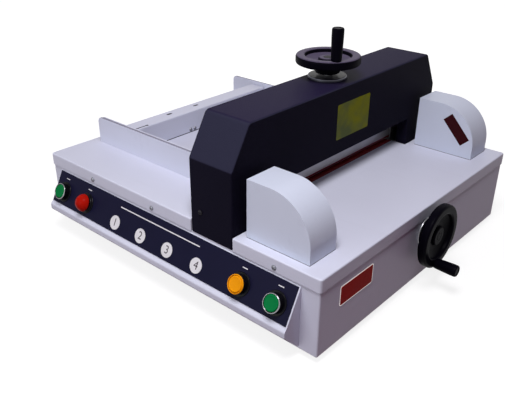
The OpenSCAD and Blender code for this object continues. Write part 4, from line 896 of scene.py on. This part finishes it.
clamp_grip_turn, gauge_grip_turn = math.radians(232), math.radians(256)
to_clamp_grip = Vector((math.cos(clamp_grip_turn), math.sin(clamp_grip_turn), 0))
to_gauge_grip = Vector((math.cos(gauge_grip_turn), 0, math.sin(gauge_grip_turn)))
pin_off, rim_top = 0.0395, 0.013
grips = {
    "clamp_grip": (clamp_wheel_foot, up, to_clamp_grip, 47),
    "gauge_grip": (gauge_wheel_foot, outwards, to_gauge_grip, 35),
}
for node, (middle, axis, towards, length) in grips.items():
    foot = middle + towards * pin_off + axis * rim_top
    across = axis.cross(towards)
    tip = length - 0.3
    recess = length - 5.6
    profile = [(4.05, 0.3), (6.6, 0.3), (7.5, 1.2), (7.7, 3.0), (8.3, length * 0.4), (8.75, length * 0.75),
               (8.7, tip - 2.2), (8.0, tip - 0.5), (6.9, tip), (6.5, tip), (6.5, recess), (4.05, recess)]
    grip = turned(node + "_moulding", foot, axis, across, profile, 64)
    soften(grip, 0.0005, angle=22, steps=2)
    dress(grip, node, phenolic)
repaint(phenolic, "clamp_grip_pin", "gauge_grip_pin")

# Clamp
# The clamp is a ribbed iron casting, machined on its sole and front, clear coated against rust.
# A keeper plate on its boss holds the neck of the spindle, so the wheel lifts and lowers it. A dark red
# strip along the front edge of the sole is painted shade under that edge, with a painted reflection of
# the red cutting stick.

clamp_iron = metal("clamp_iron", (0.40, 0.39, 0.43), 0.46, (0.2, 1, 1), 700, 0.05)
finished_copy("clamp_beam", "clamp_casting", clamp_iron, 0.0008)
repaint(milled, "clamp_keeper")
# Painted shade with a painted reflection of the red stick, along the clamp's front edge.
red_shade_strip = bar("clamp_red_shade", at(-183, -100.4, 130.6), at(183, -97.4, 134.4), 0.0007)
painted_red_shade = moulded("painted_red_shade", (0.18, 0.011, 0.016), 0.5, 0.8, 0.05, 0.04)
dress(red_shade_strip, "clamp_beam", painted_red_shade, stands_for=False)

# Knife
# The blade is ground tool steel with a single bevel, screwed into a rebate of its beam. Rollers on the
# beam run in oblique grooves of the columns, and a slotted plate on its right end is pulled by the crank.

repaint(metal("ground_steel", (0.56, 0.57, 0.60), 0.20, (1, 1, 0.04), 1800, 0.01), "knife_blade")
repaint(milled, "knife_beam", "pull_plate")

# Crank and motor
# A worm gearbox, cast in light alloy and bolted to the right column, turns the crank. The motor is a
# plain black-enamelled can on its side. The crank's roller runs in the pull plate.

repaint(milled, "crank")
repaint(lathe_steel("roller_steel", at(184, 0, 89), (0, 1, 0)), "crank_roller")
repaint(sprayed("motor_enamel", (0.02, 0.02, 0.024), 0.35, 1.2, 0.03, 0.2), "drive_motor")

# Boards
# The control board stands on hexagon spacers in the tray; smaller boards behind the posts' windows send
# and take the light. Green solder resist over copper tracks.


def circuit(name):
    """Green board with a grid of tracks under the resist."""
    finish, wire, shader = finish_of(name, Specular_IOR_Level=0.3)
    place = wire.node("TexCoord", {}, {}, "Object")
    tracks = wire.node("TexBrick", {}, {
        "Vector": place, "Scale": 160.0, "Mortar Size": 0.06,
        "Color1": (0, 0, 0, 1), "Color2": (0.4, 0.4, 0.4, 1), "Mortar": (1, 1, 1, 1)})
    wire.feed(shader, {
        "Base Color": tracks.mixed((0.006, 0.085, 0.030, 1), (0.012, 0.15, 0.055, 1)),
        "Roughness": 0.42 - 0.12 * tracks,
        "Normal": wire.node("Bump", {}, {"Strength": 0.3, "Distance": 0.00005, "Height": tracks}),
    })
    return finish


repaint(circuit("green_board"), "control_board", "emitter_board", "receiver_board")
